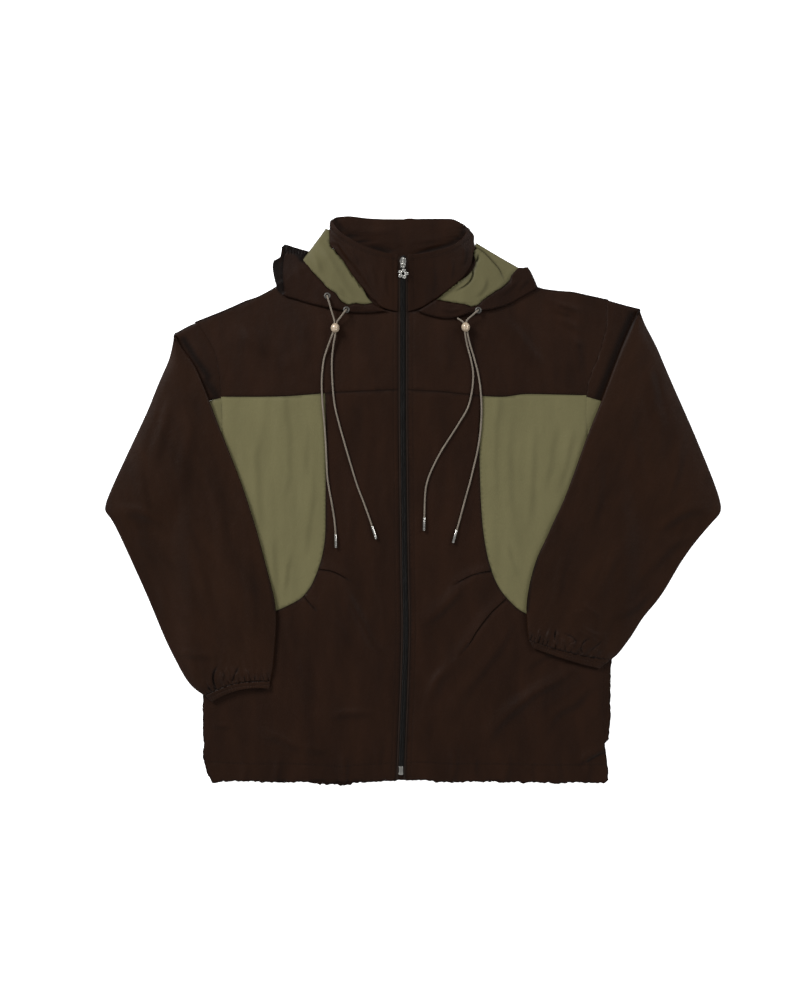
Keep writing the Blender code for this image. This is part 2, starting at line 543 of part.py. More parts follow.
def skin(mesh_data, rings, closed=True):
    """Faces between neighbouring rings of points; returns the vertices, ring by ring."""
    verts = [[mesh_data.verts.new(p) for p in ring] for ring in rings]
    count = len(rings[0])
    for first, second in zip(verts, verts[1:]):
        for i in range(count if closed else count - 1):
            j = (i + 1) % count
            mesh_data.faces.new([first[i], first[j], second[j], second[i]])
    return verts


def finish_mesh(mesh_data):
    bmesh.ops.triangulate(mesh_data, faces=mesh_data.faces)
    bmesh.ops.recalc_face_normals(mesh_data, faces=mesh_data.faces)


def flat_cap(mesh_data, ring, top_count):
    """Closes a flattened ring by joining its upper points to its lower ones."""
    upper, lower = ring[:top_count], ring[top_count:][::-1]
    upper, lower = upper, [upper[0]] + lower + [upper[-1]]
    i = j = 0
    while i < len(upper) - 1 or j < len(lower) - 1:
        step_up = i < len(upper) - 1 and (
            j == len(lower) - 1 or (i + 1) / (len(upper) - 1) <= (j + 1) / (len(lower) - 1)
        )
        if step_up:
            three = [upper[i], upper[i + 1], lower[j]]
            i += 1
        else:
            three = [upper[i], lower[j], lower[j + 1]]
            j += 1
        if len(set(three)) == 3:
            mesh_data.faces.new(three)


# Body and hood


def make_body():
    open_left, open_right = zip_side(-1), zip_side(1)
    neck_y, yoke_y, hem_y = NECK_LEFT[0][1], YOKE_LEFT[-1][1], HEM_LEFT[-1][1]
    armhole_left, armhole_right = curve(ARMHOLE_LEFT), curve(ARMHOLE_RIGHT)
    yoke_left, yoke_right = curve(YOKE_LEFT), curve(YOKE_RIGHT)
    chest_left, chest_right = curve(CHEST_LEFT), curve(CHEST_RIGHT)
    side_left, side_right = curve(SIDE_LEFT), curve(SIDE_RIGHT)

    def split(line, at):
        """The two parts of a line, before and after its point nearest to a place."""
        near = min(range(len(line)), key=lambda i: (line[i] - Vector(at)).length)
        return line[:near] + [Vector(at)], [Vector(at)] + line[near + 1 :]

    arm_up_left, arm_down_left = split(armhole_left, YOKE_LEFT[0])
    arm_up_right, arm_down_right = split(armhole_right, YOKE_RIGHT[-1])
    side_up_left, side_down_left = split(side_left, CHEST_LEFT[-1])
    side_up_right, side_down_right = split(side_right, CHEST_RIGHT[-1])
    yoke_out_left, yoke_in_left = split(yoke_left, CHEST_LEFT[0])
    yoke_in_right, yoke_out_right = split(yoke_right, CHEST_RIGHT[0])

    cloth(
        "back_panel",
        loop_of(
            curve(NECK_BACK, NECK_STEP)[::-1], curve(SHOULDER_LEFT), armhole_left, side_left, curve(VENT_LEFT),
            curve(HEM_LEFT), curve(HEM_RIGHT), curve(VENT_RIGHT)[::-1], side_right[::-1],
            armhole_right[::-1], curve(SHOULDER_RIGHT)[::-1],
        ),
        back_under, "dark_nylon", guides=pouch_rings(),
    )
    cloth(
        "yoke_left",
        loop_of(curve(NECK_LEFT, NECK_STEP), curve(SHOULDER_LEFT), arm_up_left, yoke_left,
                between(open_left, yoke_y, neck_y)[::-1]),
        front_under, "dark_nylon", folds=FOLDS_YOKE_LEFT,
    )
    cloth(
        "yoke_right",
        loop_of(curve(NECK_RIGHT, NECK_STEP), curve(SHOULDER_RIGHT), arm_up_right, yoke_right[::-1],
                between(open_right, yoke_y, neck_y)[::-1]),
        front_under, "dark_nylon", folds=FOLDS_YOKE_RIGHT,
    )
    cloth(
        "chest_panel_left",
        loop_of(yoke_out_left, chest_left, side_up_left[::-1], arm_down_left[::-1]),
        front_under, "olive_nylon",
    )
    cloth(
        "chest_panel_right",
        loop_of(yoke_out_right, arm_down_right, side_up_right, chest_right[::-1]),
        front_under, "olive_nylon",
    )
    cloth(
        "front_panel_left",
        loop_of(yoke_in_left[::-1], chest_left, side_down_left, curve(VENT_LEFT), curve(HEM_LEFT),
                between(open_left, hem_y, yoke_y)[::-1]),
        front_under, "dark_nylon", folds=FOLDS_LEFT,
    )
    cloth(
        "front_panel_right",
        loop_of(yoke_in_right, chest_right, side_down_right, curve(VENT_RIGHT), curve(HEM_RIGHT)[::-1],
                between(open_right, hem_y, yoke_y)[::-1]),
        front_under, "dark_nylon", folds=FOLDS_RIGHT,
    )


def pouch_rings():
    """Every third point beside the pouch's rim, which the pouch and the back both take."""
    return [drawn_in(POUCH_LOOP, by)[::3] for by in (-POUCH_RING, POUCH_RING)]


def make_hood():
    panel("hood_shell", drawn_in(POUCH_LOOP, SEAM), lambda x, y: 0.0, pouch_top, "dark_nylon",
          guides=pouch_rings())
    for side, shoulder, lining, facing in (
        ("left", SHOULDER_LEFT,
         (LINING_OUT_LEFT, LINING_SIDE_LEFT, LINING_IN_LEFT, LINING_NECK_LEFT),
         (LINING_SIDE_LEFT[::-1], FACING_END_LEFT, FACING_OUT_LEFT, FACING_NECK_LEFT, LINING_IN_LEFT[::-1])),
        ("right", SHOULDER_RIGHT,
         (LINING_OUT_RIGHT, LINING_IN_RIGHT, LINING_NECK_RIGHT),
         (FACING_END_RIGHT, FACING_OUT_RIGHT, FACING_NECK_RIGHT, LINING_IN_RIGHT[::-1])),
    ):
        line = curve(shoulder, HOOD_STEP)
        off_shoulder = Vector((-1 if side == "left" else 1, 2)).normalized()
        steps = [[p + off_shoulder * d for p in line] for d in HOOD_STEP_ROWS]
        for name, parts, thick, finish in (
            (f"hood_lining_{side}", lining, LINING_THICK, "olive_nylon"),
            (f"hood_facing_{side}", facing, FACING_THICK, "dark_nylon"),
        ):
            loop = loop_of(*(curve(part, HOOD_LINE_STEP) for part in parts))
            panel(name, loop, hood_under, hood_top(thick), finish, spacing=HOOD_LATTICE, guides=steps)


# Collar


def make_collar():
    """A band from the neck seam to the top edge: front left, left fold, back, right fold, front right."""

    def half(seam, top, height):
        seam = evenly(curve(seam, COLLAR_LINE_STEP), COLLAR_RIBS)
        top = evenly(curve(top, COLLAR_LINE_STEP), COLLAR_RIBS)
        points = []
        for k, (low, high) in enumerate(zip(seam, top)):
            out = k / (COLLAR_RIBS - 1)
            low_z = front_top(low.x, low.y) - WALL / 2
            low_z += (COLLAR_SIDE - low_z) * smooth((out - COLLAR_LEVEL) / (1 - COLLAR_LEVEL))
            high_z = COLLAR_SIDE + (COLLAR_RISE - COLLAR_SIDE) * (1 - out**COLLAR_ARCH)
            place = low.lerp(high, height)
            points.append(Vector((place.x, place.y, low_z + (high_z - low_z) * height)))
        return points

    inner_rings, outer_rings = [], []
    for step in range(COLLAR_STEPS + 1):
        height = step / COLLAR_STEPS
        left = half(COLLAR_SEAM_LEFT, COLLAR_TOP_LEFT, height)
        right = half(COLLAR_SEAM_RIGHT, COLLAR_TOP_RIGHT, height)
        seam = evenly(curve(COLLAR_BACK_SEAM, COLLAR_LINE_STEP), COLLAR_BACK_RIBS)
        top = evenly(curve(COLLAR_BACK_TOP, COLLAR_LINE_STEP), COLLAR_BACK_RIBS)
        back = [low.lerp(high, height).to_3d() for low, high in zip(seam, top)]
        for point in back:
            point.z = COLLAR_WALL / 2
        line = list(left)
        for corner, start, end in ((-1, left[-1], back[0]), (1, back[-1], right[-1])):
            radius = abs(start.z - end.z) / 2
            if corner > 0:
                line += back
            for quarter in (1, 2, 3):
                turn = math.pi * quarter / 4
                share = (1 - math.cos(turn)) / 2
                point = start.lerp(end, share)
                point.x += corner * radius * math.sin(turn)
                line.append(point)
        line += right[::-1]
        inner, outer = [], []
        for i, here in enumerate(line):
            along = line[min(i + 1, len(line) - 1)] - line[max(i - 1, 0)]
            normal = Vector((along.z, 0, -along.x)).normalized()
            outer.append(here + normal * COLLAR_WALL / 2)
            inner.append(here - normal * COLLAR_WALL / 2)
        inner_rings.append(inner)
        outer_rings.append(outer)
    mesh_data = bmesh.new()
    rings = [outer + inner[::-1] for outer, inner in zip(outer_rings, inner_rings)]
    verts = skin(mesh_data, rings)
    count = len(outer_rings[0])
    for ring in (verts[0], verts[-1]):
        for i in range(count - 1):
            mesh_data.faces.new([ring[i], ring[i + 1], ring[2 * count - 2 - i], ring[2 * count - 1 - i]])
    finish_mesh(mesh_data)
    new_object("collar", mesh_data, "dark_nylon")


def collar_front_z(y):
    """Height of the collar's outer face beside the zip."""
    low, high = COLLAR_SEAM_LEFT[0], COLLAR_TOP_LEFT[0]
    start = front_top(*low) - WALL / 2 + COLLAR_WALL / 2
    end = COLLAR_RISE + COLLAR_WALL / 2
    return start + (end - start) * (y - low[1]) / (high[1] - low[1])


# Sleeves


def gather(share, from_cuff):
    """How far the elastic's gathers lift the cloth."""
    lift = 0.0
    for place, height in GATHERS:
        away = min(1, abs(share - place) / GATHER_HALF)
        lift += height * GATHER_HEIGHT * (0.5 + 0.5 * math.cos(math.pi * away))
    return lift * (1 - smooth(from_cuff / GATHER_FADE))


def sleeve_rings(rows, index, cuff_y):
    """The outer and the inner ring of one section, each over the top from the inner edge and back below."""
    row = rows[index]
    width = (Vector(row[0:2]) - Vector(row[2:4])).length
    scale = min(1.0, width / FULL_WIDTH)
    folded = index <= ELBOW_ROW
    from_cuff = section_point(row, 0.5).y - cuff_y

    def place(across):
        return section_point(row, across / width)

    def low(across):
        return sleeve_under(*place(across))

    def thick(across):
        bulge = max(0, math.sin(math.pi * across / width)) ** SLEEVE_ROUND
        body = SLEEVE_EDGE + (SLEEVE_THICK - SLEEVE_EDGE) * scale * bulge
        return body + gather((across - edges[2]) / (width - 2 * edges[2]), from_cuff)

    def lifted(across, height):
        return Vector((*place(across), height))

    def high(across):
        if folded:
            across_under = min(across, width - (FOLD_SET_BACK + 2) * scale)
            drop = smooth(1 - (width - across) / (FOLD_REACH * scale))
            return low(across_under) * (1 - FOLD_DROP * drop) + thick(across)
        return low(across) + thick(across)

    edges = [d * scale for d in EDGE_POINTS]
    across_top = edges + [edges[2] + (width - 2 * edges[2]) * share for share in COLUMNS]
    across_top += [width - d for d in edges[::-1]]
    last = len(across_top) - 1
    fall = {0: EDGE_FALL, 1: NEXT_FALL, last - 1: NEXT_FALL, last: EDGE_FALL}
    outer = []
    for k, across in enumerate(across_top):
        base = low(across) if not (folded and k > len(across_top) // 2) else 0.0
        outer.append(lifted(across, high(across) + (base - high(across)) * fall.get(k, 0)))
    foot = [width - d * scale for d in FOLD_POINTS]
    floor = (UNDER_RISE * high(foot[0]), 0.0, 0.0, low(foot[3])) if folded else None
    for k, across in enumerate(foot):
        if folded:
            outer.append(lifted(across, floor[k]))
        else:
            outer.append(lifted(across, low(across) + (UNDER_RISE * thick(across) if k == 0 else 0)))
    start, end = foot[3], edges[2]
    for k in range(1, BOTTOM_STEPS + 1):
        across = start + (end - start) * k / BOTTOM_STEPS
        outer.append(lifted(across, low(across)))
    outer.append(lifted(edges[1], low(edges[1]) + UNDER_RISE * thick(edges[1])))

    bend = smooth((index - ELBOW_ROW) / 2)
    near = CAVITY_EDGE * scale
    far = width - (CAVITY_FOLD * (1 - bend) + CAVITY_EDGE * bend) * scale
    inner = []
    top_count = len(across_top)
    for k in range(top_count):
        across = near + (far - near) * k / (top_count - 1)
        roof = high(across) - SLEEVE_WALL
        floor_z = low(across) + SLEEVE_WALL
        at_edge = k in (0, top_count - 1)
        inner.append(lifted(across, floor_z + CAVITY_SHUT if at_edge else roof))
    below = len(outer) - top_count
    for k in range(below):
        across = far + (near - far) * (k + 1) / (below + 1)
        inner.append(lifted(across, low(across) + SLEEVE_WALL))
    return outer, inner, top_count


def make_sleeve(side, rows):
    cuff_y = section_point(rows[-1], 0.5).y
    rings = [sleeve_rings(rows, index, cuff_y) for index in range(len(rows))]
    top_count = rings[0][2]
    mesh_data = bmesh.new()
    outer = skin(mesh_data, [ring[0] for ring in rings])
    hollow = [ring[1] for i, ring in enumerate(rings) if i >= CAVITY_ROW and (i % 2 == 0 or i == ELBOW_ROW)]
    inner = skin(mesh_data, hollow)
    flat_cap(mesh_data, outer[0], top_count)
    flat_cap(mesh_data, inner[0], top_count)
    count = len(outer[-1])
    for i in range(count):
        j = (i + 1) % count
        mesh_data.faces.new([outer[-1][i], outer[-1][j], inner[-1][j], inner[-1][i]])
    finish_mesh(mesh_data)
    new_object(f"sleeve_{side}", mesh_data, "sleeve_nylon")


def make_cuff(side, start, end):
    """The elastic binding: a flattened ring between the sleeve's end and the cuff's open edge."""
    begin = tuple(a + (b - a) * CUFF_START for a, b in zip(start, end))
    stations = [tuple(a + (b - a) * share for a, b in zip(begin, end)) for share in (0, 0.5, 1)]
    outer_rings, inner_rings = [], []
    shares = [k / CUFF_COLUMNS for k in range(CUFF_COLUMNS + 1)]
    for row in stations:
        outer, inner = [], []
        for shares_run, above in ((shares, True), (shares[-2:0:-1], False)):
            for share in shares_run:
                place = section_point(row, share)
                base = sleeve_under(*place)
                bulge = max(0.0, math.sin(math.pi * share)) ** CUFF_ROUND
                middle = base + CUFF_THICK / 2
                half = CUFF_THICK / 2 * (CUFF_EDGE + (1 - CUFF_EDGE) * bulge) * (1 if above else -1)
                end_point = share in (0, 1)
                outer.append(Vector((*place, middle + (0 if end_point else half))))
                inset = section_point(row, CUFF_INSET + (1 - 2 * CUFF_INSET) * share)
                gap = max(CUFF_AIR, abs(half) - CUFF_WALL) * (1 if above else -1)
                inner.append(Vector((*inset, middle + (0 if end_point else gap))))
        outer_rings.append(outer)
        inner_rings.append(inner)
    mesh_data = bmesh.new()
    outer = skin(mesh_data, outer_rings)
    inner = skin(mesh_data, inner_rings)
    count = len(outer[0])
    for ring_out, ring_in in ((outer[0], inner[0]), (outer[-1], inner[-1])):
        for i in range(count):
            j = (i + 1) % count
            mesh_data.faces.new([ring_out[i], ring_out[j], ring_in[j], ring_in[i]])
    finish_mesh(mesh_data)
    new_object(f"cuff_{side}", mesh_data, "sleeve_nylon")


def make_sleeve_heads():
    """The unfolded part of each sleeve, from the armhole to under the fold, cut by the colour seam."""
    for side, rows, armhole, tip, seam_at, sign in (
        ("left", SLEEVE_LEFT, ARMHOLE_LEFT, HEAD_TIP_LEFT, YOKE_LEFT[0], -1),
        ("right", SLEEVE_RIGHT, ARMHOLE_RIGHT, HEAD_TIP_RIGHT, YOKE_RIGHT[-1], 1),
    ):
        loop = head_loop(Vector(armhole[0]), tip, rows, armhole)
        corner = Vector(seam_at)
        across = Vector((sign, -SLEEVE_SEAM_SLOPE)).normalized()
        normal = Vector((-across.y, across.x)) * sign
        for name, keep, finish in (
            (f"sleeve_head_{side}", 1, "dark_nylon"),
            (f"sleeve_inset_{side}", -1, "olive_nylon"),
        ):
            half = cut_loop(loop, corner, normal * keep)
            panel(name, half, lambda x, y: 0.0, front_top, finish)


def cut_loop(loop, place, normal):
    """The part of a loop on the side of a line that the normal points to."""
    kept = []
    for here, after in zip(loop, loop[1:] + loop[:1]):
        a, b = (here - place).dot(normal), (after - place).dot(normal)
        if a >= 0:
            kept.append(here)
        if a * b < 0:
            kept.append(here.lerp(after, a / (a - b)))
    return loop_of(kept)


# Zip


def zip_height(x, y):
    """The cloth's outer face along the zip, up the body and the collar."""
    return front_top(x, y) if y < COLLAR_SEAM_LEFT[0][1] else collar_front_z(y)


def zip_strip(name, finish, left, right, low, high, from_y, to_y):
    """A flat strip along the zip, between two distances from its centre line."""
    line = between(curve(ZIP_LINE, LATTICE), to_y, from_y)
    rings = []
    for i, here in enumerate(line):
        along = line[min(i + 1, len(line) - 1)] - line[max(i - 1, 0)]
        aside = Vector((-along.y, along.x)).normalized()
        a, b = here + aside * left, here + aside * right
        z = zip_height(here.x, here.y)
        rings.append([(*a, z + low), (*b, z + low), (*b, z + high), (*a, z + high)])
    mesh_data = bmesh.new()
    verts = skin(mesh_data, rings)
    mesh_data.faces.new(verts[0])
    mesh_data.faces.new(verts[-1])
    finish_mesh(mesh_data)
    return new_object(name, mesh_data, finish)


def make_zip():
    tape_top = TAPE_THICK - WALL
    zip_strip("zip_tape_left", "zip_tape", -TAPE_OUT, -TAPE_IN, -WALL, tape_top, ZIP_TOP_Y, ZIP_END_Y)
    zip_strip("zip_tape_right", "zip_tape", TAPE_IN, TAPE_OUT, -WALL, tape_top, ZIP_TOP_Y, ZIP_END_Y)
    zip_strip("zip_chain", "zip_coil", -CHAIN_HALF, CHAIN_HALF, -WALL, CHAIN_RISE, ZIP_TOP_Y, BOX_TOP_Y)
    middle = BOX_TOP_Y - SEAM - BOX_SIZE[1] / 2
    place = Vector((BOX_X, middle, zip_height(BOX_X, middle) - WALL + BOX_SIZE[2] / 2))
    box = rounded_box("zip_box", BOX_SIZE, BOX_ROUND)
    box.data.transform(Matrix.Translation(place * MM))


def rounded_box(name, size, radius):
    mesh_data = bmesh.new()
    bmesh.ops.create_cube(mesh_data, size=1)
    bmesh.ops.scale(mesh_data, vec=size, verts=mesh_data.verts)
    bmesh.ops.bevel(mesh_data, geom=list(mesh_data.edges), offset=radius, segments=2, affect="EDGES", profile=0.5)
    finish_mesh(mesh_data)
    return new_object(name, mesh_data, "silver")


# Slider and its pull


def torus(name, major, minor, plane, segments):
    """A ring of round wire; its plane is XY or YZ."""
    mesh_data = bmesh.new()
    rings = []
    for i in range(segments):
        turn = math.tau * i / segments
        ring = []
        for k in range(WIRE_SIDES):
            wire = math.tau * k / WIRE_SIDES
            reach = major + minor * math.cos(wire)
            point = Vector((reach * math.cos(turn), reach * math.sin(turn), minor * math.sin(wire)))
            ring.append(point if plane == "XY" else Vector((point.z, point.x, point.y)))
        rings.append(ring)
    skin(mesh_data, rings + rings[:1])
    bmesh.ops.remove_doubles(mesh_data, verts=mesh_data.verts, dist=1e-4)
    finish_mesh(mesh_data)
    return new_object(name, mesh_data, "silver")


def combine(obj, other, operation):
    """Joins another object to this one or cuts it away, and removes it."""
    join = obj.modifiers.new("join", "BOOLEAN")
    join.operation = operation
    join.solver = "EXACT"
    join.object = other
    graph = bpy.context.evaluated_depsgraph_get()
    mesh = bpy.data.meshes.new_from_object(obj.evaluated_get(graph))
    obj.modifiers.clear()
    obj.data = mesh
    bpy.data.objects.remove(other, do_unlink=True)


def collar_slope():
    low, high = COLLAR_SEAM_LEFT[0], COLLAR_TOP_LEFT[0]
    return math.atan2(collar_front_z(high[1]) - collar_front_z(low[1]), high[1] - low[1])


def pivot_place():
    """The axis on which the ring hangs: across the jacket, in the slider's bridge."""
    slope = collar_slope()
    chain = Vector((ZIP_LINE[0][0], SLIDER_Y, collar_front_z(SLIDER_Y) + CHAIN_RISE))
    return chain + Vector((0, -math.sin(slope), math.cos(slope))) * PIVOT_ABOVE_CHAIN


def bridge(name):
    """A half-round bridge over the axis, with straight feet down into the plate."""
    mesh_data = bmesh.new()
    inner, outer = [], []
    foot = -PIVOT_ABOVE_CHAIN + SEAM + BRIDGE_SUNK
    inner.append((-BRIDGE_INNER, foot))
    outer.append((-BRIDGE_OUTER, foot))
    for k in range(BRIDGE_STEPS + 1):
        turn = math.pi - math.pi * k / BRIDGE_STEPS
        inner.append((BRIDGE_INNER * math.cos(turn), BRIDGE_INNER * math.sin(turn)))
        outer.append((BRIDGE_OUTER * math.cos(turn), BRIDGE_OUTER * math.sin(turn)))
    inner.append((BRIDGE_INNER, foot))
    outer.append((BRIDGE_OUTER, foot))
    half = BRIDGE_WIDE / 2
    rings = [[(-half, *a), (half, *a), (half, *b), (-half, *b)] for a, b in zip(inner, outer)]
    verts = skin(mesh_data, rings)
    mesh_data.faces.new(verts[0])
    mesh_data.faces.new(verts[-1])
    finish_mesh(mesh_data)
    return new_object(name, mesh_data, "silver")


def flower(name):
    """A flat flower with round petals and a hole, its centre at the origin and a petal towards +Y."""
    mesh_data = bmesh.new()
    rings = []
    for line, z in (("edge", -0.5), ("edge", 0.5), ("hole", 0.5), ("hole", -0.5)):
        ring = []
        for k in range(FLOWER_POINTS):
            turn = math.tau * k / FLOWER_POINTS
            petal = abs(math.cos(PETALS / 2 * turn)) ** PETAL_ROUND
            edge = FLOWER_RADIUS * (FLOWER_WAIST + (1 - FLOWER_WAIST) * petal)
            radius = edge if line == "edge" else FLOWER_HOLE
            ring.append((-radius * math.sin(turn), radius * math.cos(turn), z * FLOWER_THICK))
        rings.append(ring)
    skin(mesh_data, rings + rings[:1])
    bmesh.ops.remove_doubles(mesh_data, verts=mesh_data.verts, dist=1e-4)
    finish_mesh(mesh_data)
    return new_object(name, mesh_data, "silver")


def make_pull():
    """Slider, ring and flower, each with its origin on the axis that it turns on."""
    slope = Matrix.Rotation(collar_slope(), 4, "X")
    pivot = pivot_place()
    plate_z = -PIVOT_ABOVE_CHAIN + SEAM + PLATE_SIZE[2] / 2
    slider = rounded_box("zip_slider", PLATE_SIZE, PLATE_ROUND)
    slider.data.transform(Matrix.Translation(Vector((0, PLATE_BEHIND - PLATE_SIZE[1] / 2, plate_z)) * MM))
    combine(slider, bridge("bridge_form"), "UNION")
    dress(slider, "silver")
    slider.matrix_world = Matrix.Translation(pivot * MM) @ slope

    ring = torus("pull_ring", RING_MAJOR, RING_WIRE, "XY", RING_SEGMENTS)
    ring.data.transform(Matrix.Translation(Vector((0, -RING_MAJOR, 0)) * MM))
    ring.matrix_world = Matrix.Translation(pivot * MM) @ slope

    charm = flower("flower_charm")
    charm.data.transform(Matrix.Translation(Vector((0, -FLOWER_FROM_AXIS, 0)) * MM))
    combine(charm, torus("bail_form", BAIL_MAJOR, BAIL_WIRE, "YZ", BAIL_SEGMENTS), "UNION")
    dress(charm, "silver")
    far = pivot + slope.to_3x3() @ Vector((0, -2 * RING_MAJOR, 0))
    dip = Matrix.Rotation(math.radians(FLOWER_DIP), 4, "X")
    charm.matrix_world = Matrix.Translation(far * MM) @ slope @ dip


# Drawcord


def eyelet_ring(name):
    """A metal ring with a rounded top, turned about Z."""
    profile = [
        (EYELET_HOLE, 0), (EYELET_RIM, 0), (EYELET_RIM, EYELET_OUTER_RISE * EYELET_RISE),
        ((EYELET_RIM + EYELET_HOLE) / 2, EYELET_RISE), (EYELET_HOLE, EYELET_INNER_RISE * EYELET_RISE),
    ]
    mesh_data = bmesh.new()
    rings = []
    for i in range(EYELET_SEGMENTS + 1):
        turn = math.tau * i / EYELET_SEGMENTS
        rings.append([(r * math.cos(turn), r * math.sin(turn), z) for r, z in profile])
    skin(mesh_data, rings)
    bmesh.ops.remove_doubles(mesh_data, verts=mesh_data.verts, dist=1e-4)
    finish_mesh(mesh_data)
    return new_object(name, mesh_data, "grey_metal")


def surface_turn(height, x, y, reach):
    """The rotation that lays a flat piece on a sloping layer."""
    rise_x = (height(x + reach, y) - height(x - reach, y)) / (2 * reach)
    rise_y = (height(x, y + reach) - height(x, y - reach)) / (2 * reach)
    return Vector((-rise_x, -rise_y, 1)).to_track_quat("Z", "Y").to_matrix().to_4x4()


def make_eyelets():
    height = hood_top(FACING_THICK)
    for side, (x, y) in EYELETS.items():
        eyelet = eyelet_ring(f"eyelet_{side}")
        place = Matrix.Translation(Vector((x, y, height(x, y) + SEAM)) * MM)
        eyelet.matrix_world = place @ surface_turn(height, x, y, EYELET_RIM)


def bead_place(side):
    x, y, turn = BEADS[side]
    middle = Vector((x, y, front_top(x, y) + SEAM + BEAD_RADIUS))
    return Matrix.Translation(middle * MM) @ Matrix.Rotation(math.radians(turn), 4, "Z")


def make_beads():
    """Each bead is a ball with one flat-sided bore along Y for both strands."""
    for side in BEADS:
        mesh_data = bmesh.new()
        bmesh.ops.create_uvsphere(
            mesh_data, u_segments=BEAD_SEGMENTS, v_segments=BEAD_RINGS, radius=BEAD_RADIUS
        )
        bead = new_object(f"bead_{side}", mesh_data, "silver")
        bore = bmesh.new()
        rings = []
        for end in (-1, 1):
            ring = []
            for k in range(BORE_SIDES):
                turn = math.tau * (k + 0.5) / BORE_SIDES
                reach = CORD / 2 + BORE_ROOM
                x = math.copysign(STRAND_APART / 2, math.cos(turn)) + reach * math.cos(turn)
                ring.append((x, end * 2 * BEAD_RADIUS, reach * math.sin(turn)))
            rings.append(ring)
        ends = skin(bore, rings)
        for ring in ends:
            bore.faces.new(ring)
        finish_mesh(bore)
        combine(bead, new_object("bore_form", bore, "silver"), "DIFFERENCE")
        dress(bead, "silver")
        bead.matrix_world = bead_place(side)


def make_strands():
    for side, route in STRANDS.items():
        points = curve(route, CORD_STEP)
        data = bpy.data.curves.new(f"cord_{side}", "CURVE")
        data.dimensions = "3D"
        data.bevel_depth = CORD / 2 * MM
        data.bevel_resolution = 2
        data.use_fill_caps = True
        spline = data.splines.new("POLY")
        spline.points.add(len(points) - 1)
        for target, point in zip(spline.points, points):
            target.co = (*(point * MM), 1)
        cord = bpy.data.objects.new(f"cord_{side}", data)
        bpy.context.scene.collection.objects.link(cord)
        dress(cord, "cord")
        make_tip(side, points)


def make_tip(side, points):
    """A metal tube past the strand's end, in line with it and level."""
    end = points[-1]
    heading = Vector((end.x - points[-2].x, end.y - points[-2].y, 0)).normalized()
    start = end + heading * SEAM
    profile = [(0, TIP_RADIUS - TIP_CHAMFER), (TIP_CHAMFER, TIP_RADIUS),
               (TIP_LENGTH - TIP_CHAMFER, TIP_RADIUS), (TIP_LENGTH, TIP_RADIUS - TIP_CHAMFER)]
    mesh_data = bmesh.new()
    rings = []
    for along, radius in profile:
        turns = [math.tau * k / TIP_SIDES for k in range(TIP_SIDES)]
        rings.append([(radius * math.cos(t), along, radius * math.sin(t)) for t in turns])
    ends = skin(mesh_data, rings)
    mesh_data.faces.new(ends[0])
    mesh_data.faces.new(ends[-1])
    finish_mesh(mesh_data)
    tip = new_object(f"tip_{side}", mesh_data, "silver")
    turn = math.atan2(-heading.x, heading.y)
    tip.matrix_world = Matrix.Translation(start * MM) @ Matrix.Rotation(turn, 4, "Z")


clear_scene()
make_body()
make_hood()
make_collar()
make_sleeve_heads()
make_sleeve("left", SLEEVE_LEFT)
make_sleeve("right", SLEEVE_RIGHT)
make_cuff("left", SLEEVE_LEFT[-1], CUFF_LEFT)
make_cuff("right", SLEEVE_RIGHT[-1], CUFF_RIGHT)
make_zip()
make_pull()
make_eyelets()
make_beads()
make_strands()
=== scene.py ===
import json
import math

